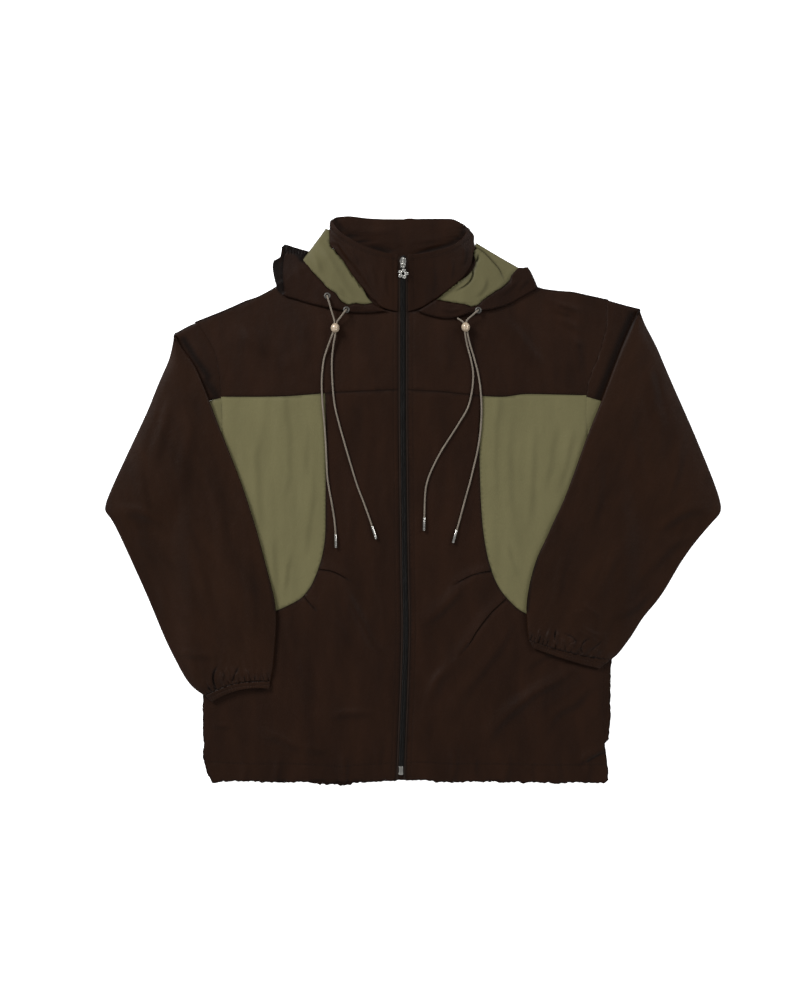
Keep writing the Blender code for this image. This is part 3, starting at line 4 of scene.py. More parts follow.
import bmesh
import bpy
import numpy as np
from mathutils import Vector, noise
from mathutils.bvhtree import BVHTree
from mathutils.geometry import delaunay_2d_cdt
from mathutils.kdtree import KDTree
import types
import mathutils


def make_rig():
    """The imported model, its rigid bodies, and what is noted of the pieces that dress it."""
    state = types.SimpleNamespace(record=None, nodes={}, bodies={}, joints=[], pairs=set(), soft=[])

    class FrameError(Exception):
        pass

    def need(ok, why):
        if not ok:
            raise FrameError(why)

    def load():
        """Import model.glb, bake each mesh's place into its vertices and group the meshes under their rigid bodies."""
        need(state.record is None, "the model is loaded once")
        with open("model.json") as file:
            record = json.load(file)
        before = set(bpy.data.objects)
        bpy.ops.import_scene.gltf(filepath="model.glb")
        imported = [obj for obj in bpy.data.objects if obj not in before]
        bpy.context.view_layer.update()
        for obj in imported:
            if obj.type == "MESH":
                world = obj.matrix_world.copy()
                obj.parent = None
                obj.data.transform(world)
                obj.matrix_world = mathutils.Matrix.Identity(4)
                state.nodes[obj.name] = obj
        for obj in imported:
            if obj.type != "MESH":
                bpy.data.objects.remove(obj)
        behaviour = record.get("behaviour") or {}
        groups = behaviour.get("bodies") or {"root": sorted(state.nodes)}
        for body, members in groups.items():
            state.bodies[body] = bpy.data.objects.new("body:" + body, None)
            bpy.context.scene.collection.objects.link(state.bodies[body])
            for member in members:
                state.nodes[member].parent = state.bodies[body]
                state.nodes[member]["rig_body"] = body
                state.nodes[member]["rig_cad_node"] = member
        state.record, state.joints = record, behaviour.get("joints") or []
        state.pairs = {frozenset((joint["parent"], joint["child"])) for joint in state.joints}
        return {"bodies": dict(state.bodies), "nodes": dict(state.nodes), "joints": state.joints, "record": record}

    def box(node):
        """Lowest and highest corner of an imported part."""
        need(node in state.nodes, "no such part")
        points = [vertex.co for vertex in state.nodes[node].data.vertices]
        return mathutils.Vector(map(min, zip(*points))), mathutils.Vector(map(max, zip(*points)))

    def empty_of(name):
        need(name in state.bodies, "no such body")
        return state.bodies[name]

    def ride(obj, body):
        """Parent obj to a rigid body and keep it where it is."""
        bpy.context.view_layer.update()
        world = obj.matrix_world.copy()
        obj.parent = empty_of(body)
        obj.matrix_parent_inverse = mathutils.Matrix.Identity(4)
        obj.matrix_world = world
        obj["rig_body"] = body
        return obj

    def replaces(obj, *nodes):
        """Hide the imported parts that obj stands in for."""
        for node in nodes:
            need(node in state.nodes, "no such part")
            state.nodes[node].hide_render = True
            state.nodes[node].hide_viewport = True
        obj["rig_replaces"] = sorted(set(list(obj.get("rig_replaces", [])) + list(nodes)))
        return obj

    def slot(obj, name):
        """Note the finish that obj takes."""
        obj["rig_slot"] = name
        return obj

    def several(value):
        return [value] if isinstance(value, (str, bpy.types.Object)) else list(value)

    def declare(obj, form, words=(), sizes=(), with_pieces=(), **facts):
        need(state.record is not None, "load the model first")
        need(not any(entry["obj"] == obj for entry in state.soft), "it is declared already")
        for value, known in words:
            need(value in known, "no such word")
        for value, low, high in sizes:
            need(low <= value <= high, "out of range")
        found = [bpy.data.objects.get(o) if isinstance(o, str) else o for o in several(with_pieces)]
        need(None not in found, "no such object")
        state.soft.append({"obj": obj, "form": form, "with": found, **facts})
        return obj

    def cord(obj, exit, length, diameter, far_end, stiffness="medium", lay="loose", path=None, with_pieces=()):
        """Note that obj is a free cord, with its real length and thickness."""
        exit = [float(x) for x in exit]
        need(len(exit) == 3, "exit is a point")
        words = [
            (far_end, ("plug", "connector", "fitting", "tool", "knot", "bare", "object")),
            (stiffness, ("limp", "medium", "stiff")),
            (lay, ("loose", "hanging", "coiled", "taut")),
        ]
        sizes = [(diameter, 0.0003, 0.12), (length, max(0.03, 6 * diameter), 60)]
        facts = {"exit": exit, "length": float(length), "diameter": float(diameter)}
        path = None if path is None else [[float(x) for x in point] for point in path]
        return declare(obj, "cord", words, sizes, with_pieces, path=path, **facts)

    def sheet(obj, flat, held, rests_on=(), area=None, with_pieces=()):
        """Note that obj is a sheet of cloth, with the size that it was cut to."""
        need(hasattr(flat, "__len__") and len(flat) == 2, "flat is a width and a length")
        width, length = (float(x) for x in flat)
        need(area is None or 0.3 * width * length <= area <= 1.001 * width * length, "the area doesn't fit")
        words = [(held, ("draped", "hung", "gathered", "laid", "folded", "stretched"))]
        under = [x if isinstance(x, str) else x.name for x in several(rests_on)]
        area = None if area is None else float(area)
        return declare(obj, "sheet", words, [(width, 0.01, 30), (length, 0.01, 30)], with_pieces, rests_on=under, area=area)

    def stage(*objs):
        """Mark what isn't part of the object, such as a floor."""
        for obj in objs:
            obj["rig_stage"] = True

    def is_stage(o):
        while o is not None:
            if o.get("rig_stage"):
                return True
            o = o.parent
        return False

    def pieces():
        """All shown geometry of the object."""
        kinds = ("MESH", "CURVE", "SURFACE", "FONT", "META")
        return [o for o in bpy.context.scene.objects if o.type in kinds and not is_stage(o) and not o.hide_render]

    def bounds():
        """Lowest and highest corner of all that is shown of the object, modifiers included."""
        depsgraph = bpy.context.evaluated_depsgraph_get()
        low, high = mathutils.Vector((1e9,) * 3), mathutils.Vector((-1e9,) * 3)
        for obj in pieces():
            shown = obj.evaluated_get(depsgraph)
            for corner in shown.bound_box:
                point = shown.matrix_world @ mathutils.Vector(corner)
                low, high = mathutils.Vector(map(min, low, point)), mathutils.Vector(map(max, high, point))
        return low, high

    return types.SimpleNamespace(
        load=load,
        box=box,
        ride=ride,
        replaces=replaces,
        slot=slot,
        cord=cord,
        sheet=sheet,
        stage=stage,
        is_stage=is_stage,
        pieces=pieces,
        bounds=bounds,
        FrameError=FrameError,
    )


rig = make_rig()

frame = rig.load()
cad_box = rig.bounds()
bpy.ops.object.select_all(action="DESELECT")

MM = 0.001


def path(text):
    """A line's points, or other groups of numbers, from their text: commas within a group, spaces between."""
    return [tuple(float(number) for number in group.split(",")) for group in text.split()]


def table(text):
    """Rows from their text: on each line a path, a bar and the numbers that go with it; other lines are headings."""
    rows = [row.split("|") for row in text.splitlines() if "|" in row]
    return [(path(line), *map(float, numbers.split())) for line, numbers in rows]


# Camera, floor and light

CAMERA_PLACE = (-0.0182, 0.0007, 2.625)
LENS = 70
FLOOR_SIZE, FLOOR_LEVEL = 60.0, -0.0002
FLOOR_COLOUR, FLOOR_GLOW = (0.93, 0.93, 0.93, 1), 0.7
# Place, size and power of the soft boxes
LAMPS = (
    ((-2.2, 2.1, 1.9), 1.2, 156),
    ((2.5, 1.4, 2.1), 1.6, 66),
    ((-2.3, -2.2, 2.3), 1.8, 36),
    ((1.9, -2.6, 2.2), 1.8, 36),
)
ROOM_LIGHT = 0.28


def set_camera():
    bpy.ops.object.camera_add(location=CAMERA_PLACE, rotation=(0, 0, 0))
    camera = bpy.context.object
    camera.data.lens = LENS
    camera.data.clip_end = 30
    bpy.context.scene.camera = camera


def set_floor():
    bpy.ops.mesh.primitive_plane_add(size=FLOOR_SIZE, location=(0, 0, FLOOR_LEVEL))
    floor = bpy.context.object
    floor.name = "floor"
    white, tree, shader = blank("white floor")
    feed(tree, shader, {
        "Base Color": FLOOR_COLOUR, "Roughness": 0.9, "Specular IOR Level": 0,
        "Emission Color": (1, 1, 1, 1), "Emission Strength": FLOOR_GLOW,
    })
    floor.data.materials.append(white)
    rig.stage(floor)


def set_light():
    """Soft boxes on all four sides and a pale room; nothing bright straight above."""
    for place, size, power in LAMPS:
        bpy.ops.object.light_add(type="AREA", location=place)
        lamp = bpy.context.object
        lamp.data.size = size
        lamp.data.energy = power
        lamp.rotation_euler = (-Vector(place)).to_track_quat("-Z", "Y").to_euler()
    world = bpy.data.worlds.new("pale room")
    world.use_nodes = True
    feed(world.node_tree, world.node_tree.nodes["Background"], {"Color": (1, 1, 1, 1), "Strength": ROOM_LIGHT})
    bpy.context.scene.world = world
    bpy.context.scene.view_settings.view_transform = "Standard"


# Materials

# Painted shade: the share of a cloth's colour left where its crease attribute is full
CREASE_SHADE = 0.22


def feed(tree, node, inputs):
    """Sets a node's inputs: an output of another node is linked, anything else is the value."""
    for title, value in inputs.items():
        if isinstance(value, bpy.types.NodeSocket):
            tree.links.new(value, node.inputs[title])
        else:
            node.inputs[title].default_value = value


def add(tree, kind, inputs=None, **settings):
    """A new shader node with its settings and inputs; returns its outputs."""
    node = tree.nodes.new(f"ShaderNode{kind}")
    for title, value in settings.items():
        setattr(node, title, value)
    feed(tree, node, inputs or {})
    return node.outputs


def calculate(tree, operation, *values):
    return add(tree, "Math", dict(enumerate(values)), operation=operation)[0]


def mixed(tree, share, low, high):
    return add(tree, "Mix", {"Factor": share, "A": low, "B": high}, data_type="RGBA")["Result"]


def bumped(tree, height, distance, before=None):
    """The normal on a height in metres, on top of the normal before it."""
    inputs = {"Strength": 1.0, "Distance": distance, "Height": height}
    return add(tree, "Bump", inputs if before is None else {**inputs, "Normal": before})["Normal"]


def scaled(colour, by):
    """A colour made darker or lighter, no lighter than white."""
    return (*[min(1, c * by) for c in colour], 1)


def blank(name):
    """A new material, its nodes and its shader."""
    material = bpy.data.materials.new(name)
    material.use_nodes = True
    return material, material.node_tree, material.node_tree.nodes["Principled BSDF"]


def group_of(name, inputs, outputs):
    """An empty shader group with its sockets, what comes into it, and its output node."""
    group = bpy.data.node_groups.new(name, "ShaderNodeTree")
    for title, kind, value in inputs:
        socket = group.interface.new_socket(name=title, in_out="INPUT", socket_type=kind)
        if value is not None:
            socket.default_value = value
    for title in outputs:
        group.interface.new_socket(name=title, in_out="OUTPUT", socket_type="NodeSocketFloat")
    return group, group.nodes.new("NodeGroupInput").outputs, group.nodes.new("NodeGroupOutput")


def weave_group():
    """Plain weave: warp and weft threads that pass over each other, as a height from 0 to 1."""
    group, given, result = group_of(
        "plain weave", [("Place", "NodeSocketVector", None), ("Thread", "NodeSocketFloat", 0.0004)], ["Height"])
    place = add(group, "SeparateXYZ", {0: given["Place"]})
    turns = calculate(group, "DIVIDE", math.pi, given["Thread"])
    threads = [calculate(group, "SINE", calculate(group, "MULTIPLY", place[axis], turns)) for axis in "XY"]
    crossing = calculate(group, "MULTIPLY", *threads)
    feed(group, result, {"Height": calculate(group, "MULTIPLY_ADD", crossing, 0.5, 0.5)})
    return group


def crinkle_group():
    """Washed creases of thin nylon as a height, and a slow change of shade along the cloth."""
    group, given, result = group_of(
        "nylon crinkle", [("Place", "NodeSocketVector", None), ("Scale", "NodeSocketFloat", 90.0)],
        ["Height", "Shade"])
    fine = add(group, "TexNoise", {
        "Vector": given["Place"], "Scale": given["Scale"], "Detail": 4, "Roughness": 0.6, "Distortion": 0.6})
    drawn = add(group, "VectorMath", {0: given["Place"], 1: (1, 0.3, 1)}, operation="MULTIPLY")["Vector"]
    size = calculate(group, "MULTIPLY", given["Scale"], 0.3)
    broad = add(group, "TexNoise", {"Vector": drawn, "Scale": size, "Detail": 3, "Roughness": 0.6})
    ridge = calculate(group, "ABSOLUTE", calculate(group, "SUBTRACT", fine["Fac"], 0.5))
    feed(group, result, {"Height": calculate(group, "MULTIPLY", ridge, 2.0), "Shade": broad["Fac"]})
    return group


WEAVE = weave_group()
CRINKLE = crinkle_group()


def fabric(name, colour, roughness, thread, weave_depth, crinkle, crinkle_depth, shade, sheen, turn=0.0, gloss=0.07):
    """Woven cloth, darkened towards painted shade where its crease attribute is set. Depths and thread are in metres;
    shade is how far the colour wanders.
    """
    material, tree, shader = blank(name)
    place = add(tree, "TexCoord")["Object"]
    place = add(tree, "Mapping", {"Vector": place, "Rotation": (0, 0, math.radians(turn))})["Vector"]
    weave = add(tree, "Group", {"Place": place, "Thread": thread}, node_tree=WEAVE)["Height"]
    folds = add(tree, "Group", {"Place": place, "Scale": crinkle}, node_tree=CRINKLE)
    wandered = calculate(tree, "MULTIPLY_ADD", folds["Shade"], 2.4, -0.7)
    cloth = mixed(tree, wandered, scaled(colour, 1 - shade), scaled(colour, 1 + shade))
    # Painted shade: the crease attribute darkens the colour where creases, seams, tucks, rims and folds' far sides
    # would lie in shadow
    painted_shade = add(tree, "Attribute", attribute_name="crease")["Fac"]
    feed(tree, shader, {
        "Base Color": mixed(tree, painted_shade, cloth, scaled(colour, CREASE_SHADE)),
        "Roughness": calculate(tree, "MULTIPLY_ADD", folds["Height"], 0.12, roughness - 0.06),
        "Normal": bumped(tree, weave, weave_depth, bumped(tree, folds["Height"], crinkle_depth)),
        "Specular IOR Level": gloss,
        "Sheen Weight": sheen,
        "Sheen Roughness": 0.45,
        "Sheen Tint": scaled(colour, 9),
    })
    return material


def hard(name, colour, roughness, metallic, wear, coat=0.0):
    """Cast metal or hard lacquer with fine scuffs and slight changes of tone."""
    material, tree, shader = blank(name)
    place = add(tree, "TexCoord")["Object"]
    scuffs = add(tree, "TexNoise", {"Vector": place, "Scale": 700, "Detail": 4})["Fac"]
    feed(tree, shader, {
        "Base Color": mixed(tree, scuffs, scaled(colour, 0.8), scaled(colour, 1.15)),
        "Roughness": calculate(tree, "MULTIPLY_ADD", scuffs, wear, roughness - wear / 2),
        "Normal": bumped(tree, scuffs, 0.00002),
        "Metallic": metallic,
        "Coat Weight": coat,
    })
    return material


DARK = (0.0117, 0.0045, 0.0020)
SLEEVE_DARK = (0.0121, 0.0047, 0.0020)
FACING_DARK = (0.0098, 0.0037, 0.0017)
OLIVE = (0.1020, 0.0925, 0.0450)

# Thread width, weave depth, scale and depth of the crinkle
NYLON = (0.00042, 0.00004, 110, 0.0003)
SEWING = (0.0003, 0.00003, 500, 0.00002)

FINISHES = {
    "dark nylon": (fabric, DARK, 0.55, *NYLON, 0.22, 0.04),
    "facing nylon": (fabric, FACING_DARK, 0.6, *NYLON, 0.22, 0.02, 0, 0.06),
    "left sleeve nylon": (fabric, SLEEVE_DARK, 0.55, *NYLON, 0.22, 0.04, -20),
    "right sleeve nylon": (fabric, SLEEVE_DARK, 0.55, *NYLON, 0.22, 0.04, 24),
    "olive nylon": (fabric, OLIVE, 0.52, *NYLON, 0.07, 0.1),
    "lining nylon": (fabric, scaled(OLIVE, 0.8)[:3], 0.52, *NYLON, 0.07, 0.08),
    "zip tape": (fabric, (0.018, 0.011, 0.008), 0.7, 0.0007, 0.0001, 300, 0.0001, 0.1, 0.1, 45),
    "zip coil": (fabric, (0.0042, 0.0036, 0.0031), 0.42, 0.0009, 0.00002, 400, 0.00003, 0.1, 0, 0, 0.14),
    "thread": (fabric, (0.0185, 0.0080, 0.0042), 0.7, *SEWING, 0.1, 0.05),
    "olive thread": (fabric, (0.082, 0.074, 0.036), 0.6, *SEWING, 0.1, 0.2),
    "cord": (fabric, (0.142, 0.119, 0.095), 0.75, 0.0005, 0.00008, 600, 0.00005, 0.12, 0.15),
    "silver": (hard, (0.47, 0.46, 0.43), 0.24, 1, 0.16),
    "champagne": (hard, (0.40, 0.315, 0.225), 0.3, 0.25, 0.1, 0.4),
    "grey metal": (hard, (0.07, 0.066, 0.06), 0.55, 0.8, 0.15),
}
FINISHES = {name: make(name, *told) for name, (make, *told) in FINISHES.items()}

# Drawcord

CORD = 0.0023
CORD_PITCH = 0.0009
CORD_SIDES = 14
# The plait's turns: radians to a metre of cord, strands round it, and its depth as a share of the radius
PLAIT_LAY, PLAIT_STRANDS, PLAIT_DEPTH = 1900, 4, 0.05

TENTHS = 10000  # in a metre
ROUTES = {
    "left_outer": path("""
        -1161,2753,113 -1158,2742,132 -1152,2722,149 -1143,2690,160 -1127,2635,164 -1100,2545,162 -1072,2450,153
        -1060,2396,150 -1067,2333,149 -1077,2268,148 -1106,2190,140 -1144,2090,120 -1180,1990,103 -1206,1897,96
        -1228,1730,92 -1235,1546,90 -1224,1300,85 -1200,1030,76 -1183,776,68 -1172,540,62 -1160,317,58 -1134,140,56
        -1102,-34,56 -1069,-240,56 -1054,-380,58 -1050,-467,62
    """),
    "left_inner": path("""
        -902,2566,127 -909,2556,146 -921,2540,162 -940,2514,170 -973,2470,168 -1004,2432,158 -1028,2396,151
        -1039,2330,149 -1047,2268,148 -1058,2190,141 -1073,2110,124 -1086,2020,107 -1096,1910,99 -1098,1760,97
        -1088,1546,96 -1060,1280,91 -998,1019,79 -914,720,69 -828,425,61 -754,190,57 -668,-34,56 -608,-200,57
        -568,-315,60 -555,-355,62
    """),
    "right_inner": path("""
        592,2453,102 610,2439,113 630,2425,128 652,2408,142 670,2388,150 685,2336,151 690,2275,150 698,2200,142
        718,2100,122 746,1995,105 772,1897,99 796,1775,97 803,1654,96 784,1460,96 730,1249,90 623,1060,81 504,871,74
        382,680,69 282,493,63 210,330,58 166,169,56 152,-20,56 149,-140,58 146,-239,62
    """),
    "right_outer": path("""
        871,2558,129 862,2550,148 847,2537,165 822,2515,173 781,2479,171 736,2441,162 709,2402,154 713,2338,151
        719,2276,150 736,2190,140 765,2080,120 796,1980,105 824,1885,99 870,1700,94 903,1478,91 916,1210,83
        903,952,73 864,680,67 805,425,59 759,240,56 712,74,56 662,-110,56 614,-290,59 579,-409,62
    """),
}


def smooth(t):
    t = np.clip(t, 0, 1)
    return t * t * (3 - 2 * t)


def vectors(points):
    return [Vector(p) for p in points]


def curved(points, step):
    """A smooth line through the points, its own points at most a step apart."""
    points = vectors(points)
    ends = [2 * points[0] - points[1]] + points + [2 * points[-1] - points[-2]]
    line = [points[0]]
    for a, b, c, d in zip(ends, ends[1:], ends[2:], ends[3:]):
        count = max(1, math.ceil((c - b).length / step))
        for k in range(1, count + 1):
            t = k / count
            line.append(0.5 * (2 * b + (c - a) * t + (2 * a - 5 * b + 4 * c - d) * t**2
                               + (3 * b - a - 3 * c + d) * t**3))
    return line


def length_of(line):
    return sum((b - a).length for a, b in zip(line, line[1:]))


def piece_from(name, points, faces, finish, body="jacket", smooth_angle=60):
    """A mesh object at the origin, in its finish, on its body."""
    mesh = bpy.data.meshes.new(name)
    mesh.from_pydata([tuple(p) for p in points], [], faces)
    mesh.validate()
    piece = bpy.data.objects.new(name, mesh)
    bpy.context.scene.collection.objects.link(piece)
    return dress(piece, finish, body, smooth_angle)


def dress(piece, finish, body="jacket", smooth_angle=60):
    piece.data.materials.clear()
    piece.data.materials.append(FINISHES[finish])
    piece.data.shade_smooth()
    piece.data.set_sharp_from_angle(angle=math.radians(smooth_angle))
    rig.ride(piece, body)
    return piece


def paint_shade(piece, depth):
    """Stores the painted shade at each point, from 0 to 1, which darkens the cloth's colour where creases, seams and
    folds would lie in shadow.
    """
    layer = piece.data.attributes.new("crease", "FLOAT", "POINT")
    layer.data.foreach_set("value", np.clip(depth, 0, 1).astype(np.float32))


def frames_along(line):
    """For each point of a line, two directions square to it and to each other, without a twist."""
    side = Vector((1, 0, 0))
    found = []
    for i in range(len(line)):
        along = (line[min(i + 1, len(line) - 1)] - line[max(i - 1, 0)]).normalized()
        side = (side - along * side.dot(along)).normalized()
        found.append((side, along.cross(side)))
    return found


def tube_faces(rings, sides):
    """The faces of a closed tube whose points come ring by ring."""
    faces = []
    for i in range(rings - 1):
        for k in range(sides):
            j = (k + 1) % sides
            a, b = i * sides, (i + 1) * sides
            faces.append((a + k, a + j, b + j, b + k))
    return faces + [tuple(range(sides))[::-1], tuple((rings - 1) * sides + k for k in range(sides))]


def braided(name, line, radius):
    """A round braid along a line: crossed strands stand out by a few hundredths of a millimetre."""
    points, run = [], 0.0
    for i, (here, (side, up)) in enumerate(zip(line, frames_along(line))):
        run += (here - line[i - 1]).length if i else 0
        for k in range(CORD_SIDES):
            turn = math.tau * k / CORD_SIDES
            across, along = PLAIT_STRANDS * turn, PLAIT_LAY * run
            reach = radius * (1 + PLAIT_DEPTH * (math.cos(across + along) * math.cos(across - along)))
            points.append(here + (side * math.cos(turn) + up * math.sin(turn)) * reach)
    return piece_from(name, points, tube_faces(len(line), CORD_SIDES), "cord")


def lay_cords():
    beads = {side: make_bead(side) for side in BEADS}
    for side, tenths in ROUTES.items():
        route = [tuple(c / TENTHS for c in point) for point in tenths]
        line = curved(route, CORD_PITCH)
        cord = braided(f"drawcord_{side}", line, CORD / 2)
        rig.replaces(cord, f"cord_{side}")
        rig.slot(cord, "cord")
        bead = beads[side.split("_")[0]]
        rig.cord(cord, exit=route[0], length=length_of(line), diameter=CORD, far_end="fitting",
                stiffness="limp", lay="loose", path=[tuple(p) for p in line[::4]] + [tuple(line[-1])],
                with_pieces=[make_tip(side, line), bead])


# Small hard pieces

# For each bead, how far it is moved up the jacket and its turn in degrees
BEADS = {"left": (-1.4, -8), "right": (-0.9, 5)}
BEAD_RADIUS, BEAD_SHAPE = 6.5, (0.89, 1, 0.96)
BEAD_RING, BEAD_RING_WIRE, BEAD_RING_UP = 3.3, 0.5, 5.4
BEAD_DISH, BEAD_DISH_UP = 2.2, 5.7
TIP_RADIUS, TIP_LENGTH, TIP_LAP = 1.9, 17.0, 0.9
TIP_WALL, TIP_BORE = 0.6, 1.6
TIP_RING, TIP_RING_WIRE, TIP_RINGS_AT = 1.82, 0.22, (3.2, 4.4, 14.8)
SLIDER_HALF_WIDTH, SLIDER_HALF_LENGTH, SLIDER_MIDDLE, SLIDER_TAPER = 4.7, 6.6, 2.0, 0.3
RING_MIDDLE, RING_TILT = (-14.2, 314.153, 26.671), 14.06
RING_MAJOR, RING_WIRE = 2.75, 0.6
SLIDER_PIVOT = (-14.2, 316.82, 27.339)
FLOWER_MIDDLE, FLOWER_TILT = (-14.2, 303.407, 23.053), 20.06
BAIL_AWAY, BAIL_MAJOR, BAIL_WIRE = 8.6, 1.5, 0.45
HUB_MAJOR, HUB_WIRE = 3.1, 1.0
PETALS, FIRST_PETAL, PETAL_AWAY = 5, 74, 4.75


def added(operator, **sizes):
    """A new primitive, with its size and turn applied to its mesh."""
    operator(**sizes)
    piece = bpy.context.object
    bpy.ops.object.transform_apply()
    return piece


def stretched(piece, scale, move=(0, 0, 0)):
    piece.scale = scale
    piece.location = Vector(move) * MM
    bpy.ops.object.transform_apply()
    return piece


def joined(name, pieces):
    bpy.ops.object.select_all(action="DESELECT")
    for piece in pieces:
        piece.select_set(True)
    bpy.context.view_layer.objects.active = pieces[0]
    if len(pieces) > 1:
        bpy.ops.object.join()
    pieces[0].name = pieces[0].data.name = name
    pieces[0].select_set(False)
    return pieces[0]


def bevelled(piece, width, angle=40):
    bpy.context.view_layer.objects.active = piece
    edge = piece.modifiers.new("edge", "BEVEL")
    edge.width = width * MM
    edge.segments = 3
    edge.angle_limit = math.radians(angle)
    bpy.ops.object.modifier_apply(modifier="edge")


def torus(major, minor, turn=(0, 0, 0), away=(0, 0, 0), around=40, tube=12):
    return added(
        bpy.ops.mesh.primitive_torus_add, major_radius=major * MM, minor_radius=minor * MM,
        major_segments=around, minor_segments=tube, rotation=[math.radians(a) for a in turn],
        location=Vector(away) * MM,
    )


def ball(radius, scale, away, around=20, rings=12):
    piece = added(bpy.ops.mesh.primitive_uv_sphere_add, radius=radius * MM, segments=around, ring_count=rings)
    return stretched(piece, scale, away)


def fixed(piece):
    """Applies a piece's own place and turn to its mesh."""
    bpy.ops.object.select_all(action="DESELECT")
    piece.select_set(True)
    bpy.context.view_layer.objects.active = piece
    bpy.ops.object.transform_apply()
    piece.select_set(False)


def finished(piece, node, finish="silver", body="jacket", smooth_angle=60):
    """Gives a hard piece its finish and body, and says which node it stands for."""
    dress(piece, finish, body, smooth_angle)
    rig.replaces(piece, node)
    return piece


def put(piece, place, turn):
    """Moves a finished piece from the origin to its place."""
    piece.rotation_euler = [math.radians(a) for a in turn]
    piece.location = Vector(place) * MM
    fixed(piece)


def make_bead(side):
    """A ball, a little narrower than long, with a low turned ring on its face; both strands go through it."""
    low, high = (Vector(c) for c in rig.box(f"bead_{side}"))
    up, turn = BEADS[side]
    body = added(bpy.ops.mesh.primitive_uv_sphere_add, radius=BEAD_RADIUS * MM, segments=40, ring_count=24)
    ring = torus(BEAD_RING, BEAD_RING_WIRE, away=(0, 0, BEAD_RING_UP))
    dish = ball(BEAD_DISH, (1, 1, 0.35), (0, 0, BEAD_DISH_UP))
    lock = joined(f"bead_lock_{side}", [body, ring, dish])
    lock.scale = BEAD_SHAPE
    put(lock, (low + high) / 2 / MM + Vector((0, up, 0)), (0, 0, turn))
    return finished(lock, f"bead_{side}", "champagne")


def make_tip(side, line):
    """A metal end: a tube crimped round the cord, with two rings and a rounded end."""
    way = (line[-1] - line[-6]).normalized()
    length = TIP_LENGTH + TIP_LAP
    body = added(bpy.ops.mesh.primitive_cylinder_add, vertices=28, radius=TIP_RADIUS * MM, depth=length * MM,
                 location=(0, 0, length / 2 * MM))
    bpy.ops.object.mode_set(mode="EDIT")
    bpy.ops.mesh.select_all(action="DESELECT")
    bpy.ops.object.mode_set(mode="OBJECT")
    for face in body.data.polygons:
        face.select = face.normal.z < -0.9
    bpy.ops.object.mode_set(mode="EDIT")
    bpy.ops.mesh.inset(thickness=TIP_WALL * MM)
    bpy.ops.mesh.extrude_region_move(TRANSFORM_OT_translate={"value": (0, 0, TIP_BORE * MM)})
    bpy.ops.object.mode_set(mode="OBJECT")
    bevelled(body, 0.35)
    rings = [torus(TIP_RING, TIP_RING_WIRE, away=(0, 0, z), around=28, tube=8) for z in TIP_RINGS_AT]
    tip = joined(f"tip_metal_{side}", [body] + rings)
    tip.rotation_euler = way.to_track_quat("Z", "Y").to_euler()
    tip.location = line[-1] - way * TIP_LAP * MM
    fixed(tip)
    return finished(tip, f"tip_{side}")


def make_slider():
    """A shield-shaped body with raised rails, a rib and the bridge that the ring hangs in."""
    body = added(bpy.ops.mesh.primitive_cylinder_add, vertices=40, radius=1 * MM, depth=1.4 * MM)
    stretched(body, (SLIDER_HALF_WIDTH, SLIDER_HALF_LENGTH, 1), (0, SLIDER_MIDDLE, -1.8))
    for vertex in body.data.vertices:
        down = max(0.0, SLIDER_MIDDLE * MM - vertex.co.y) / (SLIDER_HALF_LENGTH * MM)
        vertex.co.x *= 1 - SLIDER_TAPER * down
    for face in body.data.polygons:
        face.select = face.normal.z > 0.9
    bpy.ops.object.mode_set(mode="EDIT")
    bpy.ops.mesh.select_mode(type="FACE")
    bpy.ops.mesh.inset(thickness=1.1 * MM)
    bpy.ops.mesh.inset(thickness=0.3 * MM, depth=-0.45 * MM)
    bpy.ops.object.mode_set(mode="OBJECT")
    bevelled(body, 0.22, 30)
    rib = ball(1, (0.95, 3.6, 1.7), (0, 4.4, -1.6), 20, 14)
    bridge = stretched(torus(1.65, 0.55, (0, 90, 0)), (1.5, 1, 1))
    slider = joined("slider_cast", [body, rib, bridge])
    put(slider, SLIDER_PIVOT, (RING_TILT, 0, 0))
    finished(slider, "zip_slider", smooth_angle=40)


def make_ring():
    ring = torus(RING_MAJOR, RING_WIRE, around=48)
    ring.name = "ring_wire"
    put(ring, RING_MIDDLE, (RING_TILT, 0, 0))
    finished(ring, "pull_ring", body="ring")


def make_flower():
    """A cast flower: five spooned petals round an open hub, and the bail above its top petal."""
    pieces = [stretched(torus(HUB_MAJOR, HUB_WIRE, around=48), (1, 1, 0.66))]
    for k in range(PETALS):
        turn = math.radians(FIRST_PETAL + 360 / PETALS * k)
        middle = (PETAL_AWAY * math.cos(turn), PETAL_AWAY * math.sin(turn), 0)
        petal = ball(1, (2.5, 2.55, 0.85), (0, 0, 0), 24, 14)
        bowl = torus(1.55, 0.5, around=24, tube=8)
        stretched(bowl, (1.05, 1, 0.8), (0.15, 0, 0.55))
        petal = joined("petal", [petal, bowl])
        put(petal, middle, (0, 0, math.degrees(turn)))
        pieces.append(petal)
    pieces.append(torus(BAIL_MAJOR, BAIL_WIRE, (0, 90, 0), (0, BAIL_AWAY, 0), 32))
    flower = joined("flower_cast", pieces)
    put(flower, FLOWER_MIDDLE, (FLOWER_TILT, 0, 0))
    finished(flower, "flower_charm", body="flower")


set_camera()
lay_cords()
set_floor()
set_light()
make_slider()
make_ring()
make_flower()

# Cloth: shapes from the frame

THIN = 0.6 * MM
DOWN = Vector((0, 0, -1))


def merged(node):
    """The node's mesh with its loose triangles joined."""
    form = bmesh.new()
    form.from_mesh(frame["nodes"][node].data)
    bmesh.ops.remove_doubles(form, verts=form.verts, dist=1e-6)
    form.normal_update()
    return form


def skin_of(node, upper=True):
    """The node's upper or lower face alone."""
    form = merged(node)
    sign = 1 if upper else -1
    others = [f for f in form.faces if f.normal.z * sign < 0.3]
    bmesh.ops.delete(form, geom=others, context="FACES")
    return form


def below(tree, x, y):
    """Where the skin lies at a place, seen from above, or None."""
    return tree.ray_cast(Vector((x, y, 1)), DOWN)[0]


